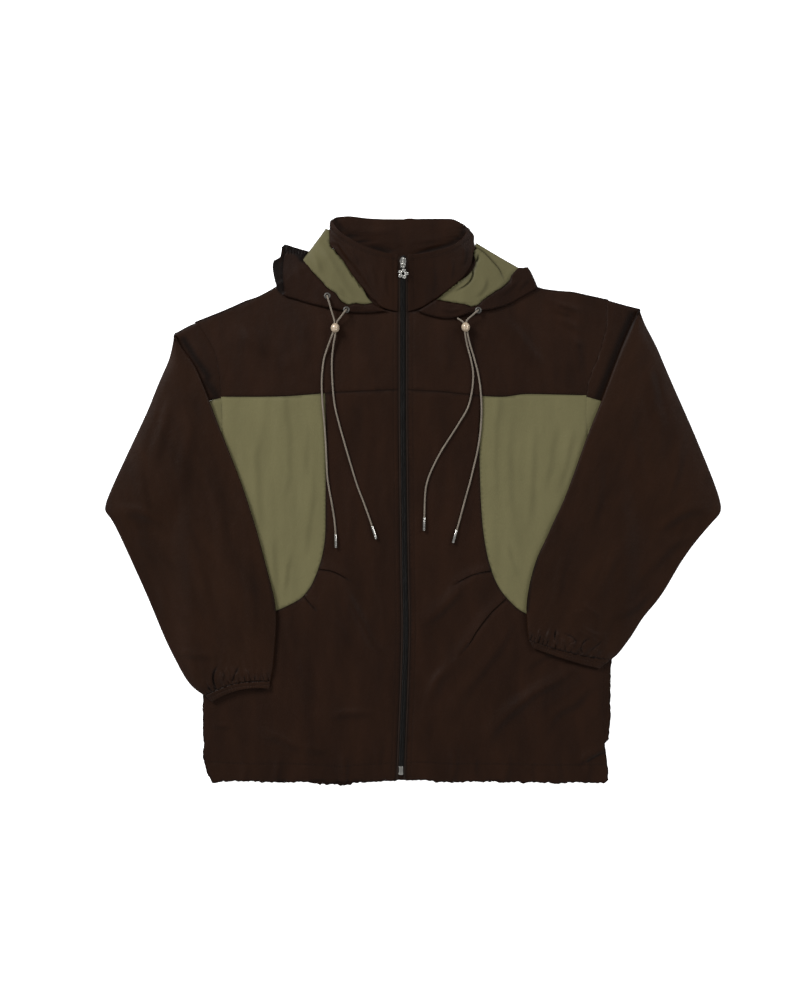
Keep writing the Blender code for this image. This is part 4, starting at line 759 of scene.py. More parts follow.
def rim_of(form):
    """The longest edge line of an open upper face, anticlockwise."""
    after = {}
    for edge in form.edges:
        if len(edge.link_faces) == 1:
            corner = edge.link_loops[0]
            after[corner.vert] = corner.link_loop_next.vert
    loops = []
    while after:
        start, here = after.popitem()
        loop = [start, here]
        while here in after:
            here = after.pop(here)
            loop.append(here)
        loops.append([v.co.copy() for v in loop[:-1]])
    return max(loops, key=len)


def softened(loop, step, corner=32):
    """A closed loop with points about a step apart, curved between its corners."""
    count = len(loop)
    flat = [Vector((p.x, p.y)) for p in loop]

    def turn(i):
        a, b = flat[i] - flat[i - 1], flat[(i + 1) % count] - flat[i]
        return a.angle(b) if a.length > 1e-7 and b.length > 1e-7 else 0.0

    corners = [i for i in range(count) if turn(i) > math.radians(corner)] or [0]
    found = []
    for first, second in zip(corners, corners[1:] + [corners[0] + count]):
        run = [flat[i % count] for i in range(first, second + 1)]
        found += curved(run, step)[:-1]
    return found


class Rim:
    """A closed line that tells how deep places are inside it and which of its points is nearest."""

    def __init__(self, loop):
        self.start = np.array([p[:2] for p in loop])
        self.end = np.roll(self.start, -1, axis=0)
        self.runs = np.concatenate([[0], np.cumsum(np.linalg.norm(self.end - self.start, axis=1))])

    def depth(self, places):
        """Depth inside (negative outside) and the run along the line, for each place."""
        depths, along = np.empty(len(places)), np.empty(len(places))
        span = self.end - self.start
        squared = (span**2).sum(1)
        for low in range(0, len(places), 4000):
            part = places[low : low + 4000]
            to_place = part[:, None, :] - self.start[None]
            share = np.clip((to_place * span).sum(2) / squared, 0, 1)
            away = np.linalg.norm(to_place - share[..., None] * span, axis=2)
            nearest = away.argmin(1)
            rows = np.arange(len(part))
            y = part[:, 1:2]
            spans = (self.start[:, 1] > y) != (self.end[:, 1] > y)
            with np.errstate(divide="ignore", invalid="ignore"):
                crossing = self.start[:, 0] + (y - self.start[:, 1]) / span[:, 1] * span[:, 0]
            inside = ((crossing > part[:, :1]) & spans).sum(1) % 2 == 1
            depths[low : low + 4000] = np.where(inside, 1, -1) * away[rows, nearest]
            along[low : low + 4000] = self.runs[nearest] + share[rows, nearest] * np.sqrt(squared[nearest])
        return depths, along


def beside(line, by):
    """A line moved to its left by so many millimetres (to its right where that is negative)."""
    moved = []
    for i, here in enumerate(line):
        along = (line[min(i + 1, len(line) - 1)] - line[max(i - 1, 0)]).normalized()
        moved.append(here + Vector((-along.y, along.x)) * by)
    return moved


def net(loop, step, lines=()):
    """Triangles about a step wide that fill a loop, with edges on the lines: places and faces."""
    rim = Rim(loop)
    low, high = rim.start.min(0), rim.start.max(0)
    row = step * math.sqrt(3) / 2
    grid = []
    for j in range(math.floor(low[1] / row), math.ceil(high[1] / row) + 1):
        columns = np.arange(math.floor(low[0] / step), math.ceil(high[0] / step) + 2)
        grid.append(np.stack([(columns - 0.5 * (j % 2)) * step, np.full(len(columns), j * row)], axis=1))
    grid = np.concatenate(grid)
    depth, _ = rim.depth(grid)
    grid = grid[depth > step * 0.45]
    places = [Vector(p) for p in rim.start]
    edges = [(i, (i + 1) % len(loop)) for i in range(len(loop))]
    drawn = []
    for line in lines:
        depth, _ = rim.depth(np.array([p[:2] for p in line]))
        before = None
        for point, inside in zip(line, depth > 0.6):
            if inside:
                if before is not None:
                    edges.append((before, len(places)))
                before = len(places)
                places.append(Vector(point[:2]))
                drawn.append(point)
            else:
                before = None
    if drawn:
        tree = KDTree(len(drawn))
        for i, point in enumerate(drawn):
            tree.insert((*point[:2], 0), i)
        tree.balance()
        grid = [p for p in grid if tree.find((*p, 0))[2] > 0.55 * step]
    places += [Vector(p) for p in grid]
    flat, _, faces, *_ = delaunay_2d_cdt(places, edges, [], 1, 1e-5)
    faces = np.array([f for f in faces if len(f) == 3])
    flat = np.array(flat)
    a, b, c = flat[faces[:, 0]], flat[faces[:, 1]], flat[faces[:, 2]]
    turned = (b[:, 0] - a[:, 0]) * (c[:, 1] - a[:, 1]) - (b[:, 1] - a[:, 1]) * (c[:, 0] - a[:, 0]) < 0
    faces[turned] = faces[turned][:, ::-1]
    used = np.unique(faces)
    place_of = np.full(len(flat), -1)
    place_of[used] = np.arange(len(used))
    return flat[used], place_of[faces]


def heights_on(form, places, from_above=True):
    """The height of an open skin at each place, also just past its edge."""
    tree = BVHTree.FromBMesh(form)
    start, way = (1, -1) if from_above else (-1, 1)
    found = np.empty(len(places))
    for i, (x, y) in enumerate(places):
        hit = tree.ray_cast(Vector((x, y, start)), Vector((0, 0, way)))[0]
        if hit is None:
            guess = tree.find_nearest(Vector((x, y, 0.01)))[0]
            hit = tree.find_nearest(Vector((x, y, guess.z)))[0]
        found[i] = hit.z
    return found


def sides_of(faces):
    return np.concatenate([faces[:, [0, 1]], faces[:, [1, 2]], faces[:, [2, 0]]])


def pairs_of(faces):
    return np.unique(np.sort(sides_of(faces), axis=1), axis=0)


def relaxed(values, pairs, rounds):
    """Values at the corners of a net, evened out with their neighbours'."""
    count = len(values)
    share = np.bincount(pairs.ravel(), minlength=count)
    for _ in range(rounds):
        total = (np.bincount(pairs[:, 0], values[pairs[:, 1]], count)
                 + np.bincount(pairs[:, 1], values[pairs[:, 0]], count))
        values = 0.5 * values + 0.5 * total / share
    return values


def rim_pairs(faces):
    """The open edges of a net, each in its face's own direction."""
    known = {(a, b) for a, b in sides_of(faces).tolist()}
    return [(a, b) for a, b in known if (b, a) not in known]


# Cloth: folds


def along_line(places, line, reach):
    """Which places are near a line, and for those: distance, side (left is positive), run, whole length."""
    line = np.array([Vector(p[:2]) for p in line])
    close = ((places > line.min(0) - reach) & (places < line.max(0) + reach)).all(1)
    part = places[close]
    near, side, run = np.full(len(part), 1e9), np.zeros(len(part)), np.zeros(len(part))
    start = 0.0
    for a, b in zip(line, line[1:]):
        along = b - a
        size = np.linalg.norm(along)
        share = np.clip(((part - a) @ along) / size**2, 0, 1)
        away = part - (a + share[:, None] * along)
        distance = np.linalg.norm(away, axis=1)
        better = distance < near
        near[better] = distance[better]
        side[better] = (along[0] * away[:, 1] - along[1] * away[:, 0])[better]
        run[better] = (start + share * size)[better]
        start += size
    return close, near, side, run, start


FOLD_TAPER = 0.38  # of a fold's length, at each free end
TUCK_TAPER, TUCK_DARK_TAPER = 0.6, 0.4


def hump(share):
    """1 in the middle of a fold, 0 at its sides."""
    return (0.5 + 0.5 * np.cos(math.pi * np.clip(share, 0, 1))) ** 1.3


def fold_field(places, folds, wide=1.0):
    """The lift of every soft fold at each place, in metres; folds are in millimetres.

    A fold is its line, its half width left and right of that line, its height, and, where it starts
    at a seam, 1 for its first end."""
    lift = np.zeros(len(places))
    for line, left, right, height, *held in folds:
        left, right = left * wide, right * wide
        close, near, side, run, total = along_line(places, curved(line, 6), max(left, right))
        start = run / (FOLD_TAPER * total) + (held[0] if held else 0)
        taper = smooth(start) * smooth((total - run) / (FOLD_TAPER * total))
        lift[close] += height * taper * hump(near / np.where(side > 0, left, right))
    return lift * MM


# A step towards the key lamp, and the fall of a fold across it that gives full painted shade
TO_LIGHT, FULL_SHADE = np.array([-1.1, 1.1]), 0.45 * MM


def shaded_side(places, folds, wide=1.0):
    """How much painted shade each place takes on the side of its folds away from the key lamp, from 0 to 1."""
    fall = fold_field(places + TO_LIGHT, folds, wide) - fold_field(places - TO_LIGHT, folds, wide)
    return np.clip(fall / FULL_SHADE, 0, 1)


def shade_field(places, shades):
    """Broad soft painted shade, such as the shadow under a fold that stands over a place: line, half width, amount."""
    dark = np.zeros(len(places))
    for line, half, amount in shades:
        close, near, *_ = along_line(places, line, half)
        dark[close] += amount * smooth(1 - near / half)
    return dark


def tuck_field(places, tucks):
    """The lift of stitched tucks: a flap that ends in a step, and the hollow under the step; and the painted
    shade in that hollow at each place.

    A tuck is its line from the seam outwards, the side of the flap (1 left, -1 right), how far the
    flap and the hollow reach, the flap's height and the hollow's depth."""
    lift, dark = np.zeros(len(places)), np.zeros(len(places))
    for line, flap, reach, hollow, height, depth in tucks:
        close, near, side, run, total = along_line(places, curved(line, 3), reach)
        taper = smooth((total - run) / (TUCK_TAPER * total))
        up, down = height * hump(near / reach), -depth * hump(near / hollow)
        over = np.sign(side) * flap * near
        share = smooth(0.5 + 0.5 * np.clip(over / 0.4, -1, 1))
        lift[close] += taper * (up * share + down * (1 - share))
        dark[close] += smooth((total - run) / (TUCK_DARK_TAPER * total)) * (1 - np.clip(np.abs(over + 0.9) / 1.7, 0, 1))
    return lift * MM, dark


def step_field(places, steps):
    """Edges of a folded layer: everything near the line's right lies lower by the given depth, with painted shade along
    the step.
    """
    lift, dark = np.zeros(len(places)), np.zeros(len(places))
    for line, reach, depth in steps:
        close, near, side, run, total = along_line(places, curved(line, 3), reach)
        flat = 1 - smooth((near / reach - 0.7) / 0.3)
        ends = smooth(run / 6) * smooth((total - run) / 6)
        left = np.sign(side) * near
        lift[close] -= depth * flat * ends * smooth(0.5 - 0.5 * np.clip(left / 0.6, -1, 1))
        dark[close] += ends * np.where(left < 0.6, 1 - np.clip(np.abs(left + 0.9) / 2.4, 0, 1), 0)
    return lift * MM, dark


def line_field(places, grooves):
    """Sewn lines: narrow hollows (or ridges, where the height is above zero), and painted shade in the hollows."""
    lift, dark = np.zeros(len(places)), np.zeros(len(places))
    for line, half, height in grooves:
        close, near, *_ = along_line(places, line, half)
        lift[close] += height * hump(near / half)
        dark[close] += np.clip(-1.3 * height, 0, 0.9) * np.clip(1 - near / half, 0, 1)
    return lift * MM, dark


def wander(places, size, seed):
    """Slow noise from about -1 to 1 at each place (in millimetres)."""
    sx, sy = size if isinstance(size, tuple) else (size, size)
    return np.array([noise.noise(Vector((x / sx, y / sy, seed))) for x, y in places])


GRAIN, CRUMPLE = (26, 150), 0.2


def ripples(places, seed, long, grain=GRAIN):
    """The slight unevenness of laid nylon: long soft ripples and small crumples, in metres."""
    soft = wander(places, grain, seed) * long
    fine = wander(places, (9, 16), seed + 7) * CRUMPLE
    broad = wander(places, 60, seed + 13) * long * 0.8
    return (soft + fine + broad) * MM


def warped(places, seed, by=4.0, size=38):
    """Places shifted a little, so that no fold on them is a drawn line."""
    return places + np.stack([wander(places, size, seed), wander(places, size, seed + 5)], axis=1) * by


# Laid panels

# Painted shade on the side of folds away from the key lamp
FOLD_SHADE = 0.3
FOLD_SPREAD = 1.3
LINE_STEP, EDGE_STEP = 2.2, 2.4
LEAST_WALL, LEAST_THICK, MOST_BEND = 0.25 * MM, 0.4 * MM, 1.6 * MM
COVER_GAP = 1.8
HIDDEN_REACH = 8
# Height of the puckers at a panel's edge, and the painted shade along its rim
PUCKER, RIM_DARK = 0.2, 0.55


def lines_in(tucks, steps, grooves):
    """The lines that a panel's net has to follow, in millimetres."""
    drawn = []
    for line, flap, *_ in tucks:
        drawn += [beside(curved(line, LINE_STEP), by * flap) for by in (0.4, -0.4, -2.8)]
    for line, *_ in steps:
        drawn += [beside(curved(line, LINE_STEP), by) for by in (-0.6, 0.6)]
    for line, half, _ in grooves:
        drawn += [beside(vectors(line), by) for by in (-half, 0, half)]
    return drawn


def kept_under(top, places, node, shift):
    """Heights that stay clear below the node that lies over them, whose own edge is moved by the shift."""
    tree = BVHTree.FromBMesh(merged(node))
    for dx, dy in ((0, 0), (COVER_GAP, 0), (-COVER_GAP, 0), (0, COVER_GAP), (0, -COVER_GAP)):
        over = [below(tree, (x - shift[0] + dx) * MM, (y - shift[1] + dy) * MM) for x, y in places]
        top = np.minimum(top, [1.0 if hit is None else hit.z - COVER_GAP * MM for hit in over])
    return top


parts = {}


def keep(piece, node, dark):
    """Stores a finished panel's painted shade, says which node it stands for, and keeps it."""
    paint_shade(piece, dark)
    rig.replaces(piece, node)
    parts[node] = piece


def laid(kind, side, finish, seed, step=3.6, folds=(), tucks=(), grooves=(), steps=(), shades=(), roll=0.7,
         long=0.5, grain=GRAIN, evened=10, solid=False, hollows=(), edge=None, hidden=None, beneath=None):
    """A panel of cloth on its node's form, with its folds, tucks, sewn lines, seam edges and puckers, and painted
    shade.

    A solid panel fills its node's depth, has rounded folded edges and may have hollows in its lower
    side; any other is thin cloth. A hidden line is a seam that hardly shows; beneath is the node that
    lies over the panel's edge, and how far that node's own edge is moved."""
    node = kind + side
    upper = skin_of(node)
    loop = softened([p / MM for p in rim_of(upper)], step if edge is None else min(step, EDGE_STEP))
    if edge is not None:
        loop = [edge(p) for p in loop]
    places, faces = net(loop, step, lines_in(tucks, steps, grooves))
    depth, run = Rim(loop).depth(places)
    depth = np.maximum(depth, 0)
    top = relaxed(heights_on(upper, places * MM), pairs_of(faces), evened)
    moved = warped(places, seed)
    ease = 0.35 + 0.65 * smooth(depth / 9)
    lift = fold_field(moved, folds, FOLD_SPREAD) * (0.6 + 0.4 * ease)
    lift += ripples(places, seed, long, grain=grain) * ease
    (tucked, dark), (sewn, sewn_dark), (stepped, step_dark) = (
        tuck_field(places, tucks), line_field(places, grooves), step_field(places, steps))
    lift += tucked + sewn * smooth(depth / 2) + stepped
    # Painted shade from tucks, sewn lines, steps and shade lines, then on the far side of folds
    dark = dark + sewn_dark + step_dark + shade_field(places, shades)
    dark = dark + FOLD_SHADE * shaded_side(moved, folds, FOLD_SPREAD)
    # Painted shade along the panel's rim, where the seam's fold would shadow it; less along a hidden seam
    edge_dark = RIM_DARK * (1 - smooth(depth / 1.4))
    low = 1 - smooth(depth / 2.6)
    if hidden is not None:
        close, near, *_ = along_line(places, hidden, HIDDEN_REACH)
        edge_dark[close] *= 0.12 + 0.88 * smooth(near / HIDDEN_REACH)
        low[close] *= 0.35 + 0.65 * smooth(near / HIDDEN_REACH)
    dark += edge_dark
    waves = np.array([noise.noise(Vector((r / 6.5, d / 40, seed + 21))) for r, d in zip(run, depth)])
    lift += waves * PUCKER * np.exp(-depth / 7) * smooth(depth / 1.5) * MM
    top = top + lift
    under = heights_on(skin_of(node, False), places * MM, False)
    if solid:
        thick = np.maximum(top - under, LEAST_THICK)
        bend = np.minimum(thick / 2, MOST_BEND)
        share = 1 - np.clip(depth * MM / bend, 0, 1)
        inward = bend * (1 - np.sqrt(1 - np.minimum(share, 0.98) ** 2))
        lower = under + inward * (under > 0.2 * MM) + np.maximum(0, fold_field(moved, hollows))
        top = np.maximum(top - inward, lower + LEAST_WALL)
        if beneath is not None:
            top = kept_under(top, places, *beneath)
            lower = np.minimum(lower, top - LEAST_WALL)
    else:
        top = np.maximum(top - roll * MM * low, under + THIN + 0.05 * MM)
        lower = top - THIN
    count = len(places)
    points = np.concatenate([np.column_stack([places * MM, height]) for height in (top, lower)])
    all_faces = faces.tolist() + (faces[:, ::-1] + count).tolist()
    all_faces += [(b, a, a + count, b + count) for a, b in rim_pairs(faces)]
    piece = piece_from(f"{kind.removesuffix('_panel')}_cloth{side}", points, all_faces, finish)
    keep(piece, node, np.concatenate([dark, dark]))


ZIP_LINE = path("""
    -14.2,327 -14.2,254 -14.2,149 -14,95 -12.6,-26 -11.5,-111 -10.4,-163 -11.2,-209 -13,-267 -15.3,-323 -17,-369
    -17.2,-377.5
""")
HEM_LEFT = path("-284,-352 -221,-355 -164,-355 -126,-357 -98,-358.5 -72,-356.5 -24,-354")
HEM_RIGHT = path("-10.8,-353.5 18,-353 49,-355 99,-355 178,-356.5 261,-356")
PLACKET = 13


def even(points, step=EDGE_STEP):
    return curved(points, step)


placket_left = beside(even(ZIP_LINE), -PLACKET)
placket_right = beside(even(ZIP_LINE), PLACKET)
SIDE_RIGHT = path("267.4,-200 266,-242 265.5,-269 266,-296 263.5,-314")
side_lines = [beside(even(SIDE_RIGHT), -away) for away in (6, 9.5)]
GROOVES = {
    "left": [(placket_left, 1.3, -0.32), (even(HEM_LEFT), 1.4, -0.35)],
    "right": [(placket_right, 1.3, -0.32), (even(HEM_RIGHT), 1.4, -0.35)] + [(s, 1.2, -0.3) for s in side_lines]
    + [([(259, -340), (252, -342), (244, -346), (236, -351)], 1.6, -0.4)],
}

TUCKS = {
    "left": table("""
        -125.6,-92.5 -110.6,-94.9 -97,-101 -80,-111.5 | 1 17 5 1.3 1.9
        -148.6,-127.5 -138,-140 -127.5,-151.8 | 1 14 4 1.2 1.7
    """),
    "right": table("""
        104.5,-94.4 88,-97.5 73.6,-102.5 46,-117.6 | -1 17 5 1.3 1.9
        122.4,-134 103.7,-151.6 86,-174.3 73.4,-194.5 53,-216 | -1 22 6 1.4 1.6
    """),
}

FRONT_FOLDS = table("""
    From the tucks at the left chest seam down
    -103,-104 -85,-137 -72,-164 -52,-197 -34,-216 | 9 5 1.7
    -62,-93 -45,-137 -35,-184 | 8 5 0.9
    -124,-152 -104,-172 -84,-200 | 11 6 1.0
    -176,-150 -168,-176 -156,-206 | 10 8 0.8
    -150,-190 -146,-240 -138,-280 | 12 10 0.7
    And at the right chest seam
    52,-216 30,-244 18,-280 | 14 9 1.6
    70,-104 50,-134 28,-156 4,-172 | 8 12 1.0
    140,-146 118,-190 90,-232 64,-270 | 9 14 1.2
    206,-178 196,-196 170,-214 140,-234 | 8 12 1.0
    230,-214 206,-232 160,-262 124,-290 92,-334 | 8 15 1.8
    250,-236 226,-262 190,-292 166,-322 | 10 12 1.3
    88,-232 62,-262 40,-310 | 14 12 0.9
    262,-330 238,-344 216,-356 | 5 9 1.6
    Lower front and hem
    -276,-298 -262,-303 -244,-306 | 5 7 1.0
    -214,-310 -186,-316 -164,-328 -150,-340 | 6 11 1.5
    -150,-328 -132,-334 -116,-342 | 6 10 1.2
    -122,-290 -98,-287 -74,-284 -50,-286 | 6 10 1.2
    -96,-382 -92,-358 -97,-336 | 8 6 1.0 1
    -186,-380 -180,-360 -184,-344 | 7 7 0.8 1
    -44,-378 -50,-350 -44,-322 | 7 9 0.8 1
    -232,-380 -226,-360 -230,-346 | 6 8 0.8 1
    48,-380 56,-350 52,-318 | 8 8 1.0 1
    84,-380 82,-358 88,-340 | 6 7 0.8 1
    120,-380 126,-356 118,-330 | 8 8 0.9 1
    160,-380 156,-360 162,-344 | 6 7 0.8 1
    196,-380 188,-352 176,-330 | 8 9 1.0 1
    232,-380 236,-352 230,-326 | 8 8 0.8 1
    Chest
    -66,140 -62,60 -70,-20 | 12 16 0.7 1
    -34,120 -38,30 -32,-60 | 9 10 0.6
    -88,40 -84,-20 -90,-70 | 10 12 0.6
    28,138 34,50 26,-40 | 12 12 0.7 1
    58,60 66,0 60,-60 | 9 12 0.6
    Yokes
    -236,236 -214,214 -196,190 | 8 12 1.2
    -188,228 -170,200 -160,168 | 12 14 0.8
    -80,236 -66,200 -60,164 | 12 14 0.7
    -150,250 -146,214 -150,176 | 14 14 0.6
    36,236 44,200 42,164 | 12 12 0.7
    118,250 146,216 172,176 | 10 14 1.0
    176,274 196,266 214,262 230,254 | 4 7 1.5
    182,262 198,256 214,250 | 4 6 1.1
    190,250 208,240 226,232 | 5 8 1.1
    206,226 218,214 232,208 | 6 8 0.9
    214,222 222,198 220,166 | 8 12 0.8
""")

CHEST_FOLDS = table("""
    -208,120 -214,40 -206,-60 | 10 8 0.8
    -176,138 -172,60 -180,-20 | 9 12 0.7 1
    -150,130 -146,20 -154,-80 | 8 10 0.6
    -136,60 -140,-10 -152,-90 | 7 9 0.6
    -196,-30 -190,-90 -184,-136 | 8 9 0.8
    -166,-60 -172,-100 -176,-134 | 6 8 0.7
    112,138 108,60 114,-30 | 8 10 0.6 1
    132,130 126,40 134,-60 | 10 12 0.6
    160,120 158,40 150,-50 | 9 9 0.7
    190,124 184,70 174,0 | 9 10 0.7
    212,110 204,56 190,4 | 8 9 0.7
    120,-50 128,-80 140,-106 | 6 8 0.7
""")


def hem_edge(seed, raised=0.0):
    """A hem and side edge that is sewn and a little puckered; raised lifts it off the back's hem."""

    def edge(p):
        near_hem = smooth((-368 - p.y) / 6)
        near_side = smooth((abs(p.x + 8) - 255) / 6) * smooth((-190 - p.y) / 8)
        wave = noise.noise(Vector((p.x / 4.6, p.y / 4.6, seed)))
        slow = noise.noise(Vector((p.x / 17, p.y / 17, seed + 3)))
        up = raised * math.exp(-((p.x + 104) / 38) ** 2)
        return Vector((
            p.x + near_side * (wave * 0.9 + slow * 1.3),
            p.y + near_hem * (wave * 2.5 + slow * 1.8 + up),
        ))

    return edge


def pushed(*pushes, then=None):
    """Moves an edge: each push is a line, how far it reaches, and the move."""

    def edge(p):
        place = np.array([[p.x, p.y]])
        move = Vector((0, 0))
        for line, reach, way in pushes:
            close, near, *_ = along_line(place, line, reach)
            if close[0]:
                move += Vector(way) * float(smooth(1 - near[0] / reach))
        return (then(p) if then else p) + move

    return edge


ARMHOLES = {
    "left": path("-289,238 -271,210 -262,183 -258,143 -257.5,86 -256,40"),
    "right": path("258,268 258.5,237 248,196 237,169 232,145 231,90 229,40"),
}
YOKE_PUSHED = {"left": 4, "right": 5}  # how much of the armhole's line
HEM_CORNERS = {
    "left": [([(-270, -380), (-268, -380)], 9, (-3, -2))],
    "right": [([(262, -380), (260, -381)], 8, (2.5, -1.8)), ([(262, -322), (262, -325)], 5, (2.5, -1.5)),
              ([(252, -328), (251, -329)], 5, (-3, 0))],
}
BACK_CORNERS = pushed(*HEM_CORNERS["left"], *HEM_CORNERS["right"], then=hem_edge(77.0))


def back_edge(p):
    """The back's hem, its neckline under the collar's back and its armholes under the sleeve heads."""
    moved = BACK_CORNERS(p)
    neck = smooth((p.y - 285) / 16) * smooth((106 - abs(p.x + 14)) / 12)
    armhole = smooth((p.y - 22) / 10) * smooth((282 - p.y) / 8) * smooth((abs(p.x + 8) - 200) / 15)
    return moved + Vector((math.copysign(5.0, p.x) * float(armhole), 11 * float(neck)))


HEAD_EDGES = {
    "left": pushed(([(-313.5, 229.5), (-314.5, 228.5)], 13, (-5.5, -4.5)),
                   ([(-268, 141), (-254, 144)], 7, (0, -3.0))),
    "right": pushed(([(298.5, 258.5), (299.5, 258.2)], 13, (5.6, -1.0)),
                    ([(236, 142), (252, 139)], 7, (0, -3.0))),
}
# Painted shadow beside each sleeve's inner fold, on the sleeve head and inset: line, half width, amount
HEAD_SHADES = {
    "left": table("""
        -310,217 -295,193 -277,168 | 8 0.9
        -279,160 -266,142 | 9 0.8
    """),
    "right": table("""
        294,251 279,217 265,180 257,160 249,140 | 9 0.95
    """),
}
INSET_SHADES = {
    "left": table("""
        -266,138 -256,112 -246,88 | 9 0.16
    """),
    "right": table("""
        246,136 238,112 226,84 | 9 0.16
    """),
}
LINING_CORNERS = {
    "left": [([(-117, 362), (-115, 360)], 9, (2.5, 3.0)), ([(-115, 354), (-110, 338)], 10, (6.0, 2.4))],
    "right": [([(86, 341), (88, 342)], 9, (-3.5, 2.0))],
}
HOOD_SEAM = {
    "left": [([(-96, 272.5), (-88, 269)], 13, (-1.5, -6.0)), ([(-136, 306), (-124, 294)], 10, (0.8, 1.2))],
    "right": [([(85, 266), (78, 265)], 10, (0.5, -3.6)), ([(128, 297), (118, 288)], 10, (0.6, -1.4))],
}
FACING_EDGES = {
    "left": pushed(([(-150, 321), (-143, 313)], 9, (2.4, 2.2)), *HOOD_SEAM["left"]),
    "right": pushed(([(141, 310), (134, 303)], 9, (-2.4, 2.2)), *HOOD_SEAM["right"]),
}
COLLAR_PUSH = {"left": (3.0, 1.6), "right": (0, 0)}
# Painted shadow along the collar's edge on the linings
LINING_SHADES = {
    "left": table("""
        -114,350 -54,268 | 4.5 0.6
    """),
    "right": table("""
        82,336 82,316 72,302 30,268 | 5.5 0.7
    """),
}
# Painted shade on the left facing: the shadowed strip at its folded edge and the hollow of the scrunched elastic
FACING_SHADES = {
    "left": table("""
        -187,338 -187,318 -186,300 -183,284 | 14 1.2
        -172,345 -158,339 -147,330 | 11 1.3
        -160,341 -149,332 -149,327 | 10 1.3
    """),
    "right": [],
}


def under_collar(start, end, way):
    """Moves the edge beside the collar under it."""
    start, end, way = Vector(start), Vector(end), Vector(way).normalized()
    along = (end - start).normalized()

    def edge(p):
        run = (p - start).dot(along)
        away = (p - start - along * run).dot(way)
        share = smooth((run - 8) / 22) * smooth(((end - start).length - run) / 10) * smooth((away + 14) / 6)
        return p + way * (6.5 * float(share))

    return edge


COLLAR_SIDES = {"left": ((-55, 266), (-118, 365), (0.84, 0.54)), "right": ((30, 270), (86, 345), (-0.79, 0.61))}
BACK_HEM = [([(x, -388), (x + 1.5, -371)], 1.9, 1.0 + 0.4 * math.sin(x)) for x in range(-150, -60, 6)]
BACK_FOLDS = table("""
    -210,60 -150,-40 -120,-180 | 16 12 0.7
    150,90 110,-30 120,-160 | 14 16 0.7
    -60,120 -70,0 -40,-120 | 18 14 0.6
    40,60 30,-80 60,-220 | 16 16 0.6
    -230,-160 -150,-210 -60,-230 | 14 12 0.7
    230,-140 150,-220 70,-260 | 12 16 0.7
    -200,-290 -110,-300 -30,-340 | 12 12 0.6
    210,-300 130,-320 40,-350 | 12 12 0.6
""")

LINING_FOLDS = {
    "left": table("""
        -133,352 -121,336 -106,312 -90,288 -76,270 | 9 6 1.3 1
        -142,338 -132,322 -124,304 | 6 5 0.8
        -120,304 -104,290 -92,276 | 5 6 0.6
    """),
    "right": table("""
        118,300 112,284 98,272 | 7 5 0.8
        96,306 92,290 80,274 | 5 8 0.8
        132,316 128,304 120,294 | 5 6 0.6
    """),
}
LINING_TUCKS = {
    "left": [],
    "right": table("""
        84,341 95,333 104.9,322.8 116.2,308.9 123.6,290 | -1 16 6 1.5 1.8
        86,328 80.4,312 77,299 68,289 50,279 | -1 12 5 1.5 1.8
    """),
}
FACING_STEPS = {
    "left": table("""
        -171.5,347 -175.5,322 -176.6,304.8 -173.5,276 | 26 3.6
    """),
    "right": [],
}
FACING_FOLDS = {
    "left": table("""
        -150,300 -138,286 -124,272 | 7 9 0.6
        -160,318 -152,302 -142,290 | 6 8 0.5
        -104,268 -84,262 -62,260 | 4 5 0.7
    """),
    "right": table("""
        144,300 128,286 112,274 | 5 6 0.9
        156,304 150,292 138,280 | 5 6 0.8
        70,258 50,256 30,262 | 4 4 0.7
        88,262 74,254 60,250 | 4 4 0.6
    """),
}
SCRUNCH = {
    "left": [([(x, 349 - abs(x + 176) * 0.1), (x - 2, 334 - abs(x + 170) * 0.06)], 1.6, -1.8)
             for x in range(-170, -142, 4)],
    "right": (),
}

OLIVE_GRAIN = (11, 110)
HOOD_EDGE = {"solid": True, "step": 2.2, "evened": 6, "grain": (12, 30)}
for side, out, seed, raised, placket in (
    ("left", -1, 3.0, 4.4, placket_left),
    ("right", 1, 41.0, 1.0, placket_right),
):
    at, armhole, tucked = f"_{side}", ARMHOLES[side], (1.8 * out, 0)
    laid("yoke", at, "dark nylon", seed, folds=FRONT_FOLDS, hidden=armhole, grooves=[(placket, 1.3, -0.32)],
         edge=pushed((armhole[:YOKE_PUSHED[side]], 5, tucked)))
    laid("chest_panel", at, "olive nylon", seed, folds=CHEST_FOLDS, grain=OLIVE_GRAIN, roll=1.7, long=0.7,
         hidden=armhole, edge=pushed((armhole[-3:], 5, tucked)))
    laid("front_panel", at, "dark nylon", seed, folds=FRONT_FOLDS, tucks=TUCKS[side], grooves=GROOVES[side],
         edge=pushed(*HEM_CORNERS[side], then=hem_edge(seed, raised)))
    laid("sleeve_head", at, "dark nylon", seed, solid=True, hidden=armhole, edge=HEAD_EDGES[side],
         shades=HEAD_SHADES[side])
    laid("sleeve_inset", at, "olive nylon", seed, solid=True, hidden=armhole, grain=OLIVE_GRAIN,
         shades=INSET_SHADES[side])
    laid("hood_lining", at, "lining nylon", seed, folds=LINING_FOLDS[side], tucks=LINING_TUCKS[side],
         edge=pushed(*LINING_CORNERS[side], *HOOD_SEAM[side], then=under_collar(*COLLAR_SIDES[side])),
         shades=LINING_SHADES[side], beneath=("collar", COLLAR_PUSH[side]), **HOOD_EDGE)
    laid("hood_facing", at, "facing nylon", seed, folds=FACING_FOLDS[side], steps=FACING_STEPS[side],
         grooves=SCRUNCH[side], edge=FACING_EDGES[side], shades=FACING_SHADES[side], **HOOD_EDGE)
    laid("zip_tape", at, "zip tape", seed, step=1.5, roll=0.25, long=0.1, evened=4)
laid("back_panel", "", "dark nylon", 77.0, step=7, solid=True, long=0.2, grooves=BACK_HEM, hollows=BACK_FOLDS,
     edge=back_edge)
laid("hood_shell", "", "dark nylon", 79.0, step=6, solid=True, long=0.2)


# Sleeves, cuffs and collar


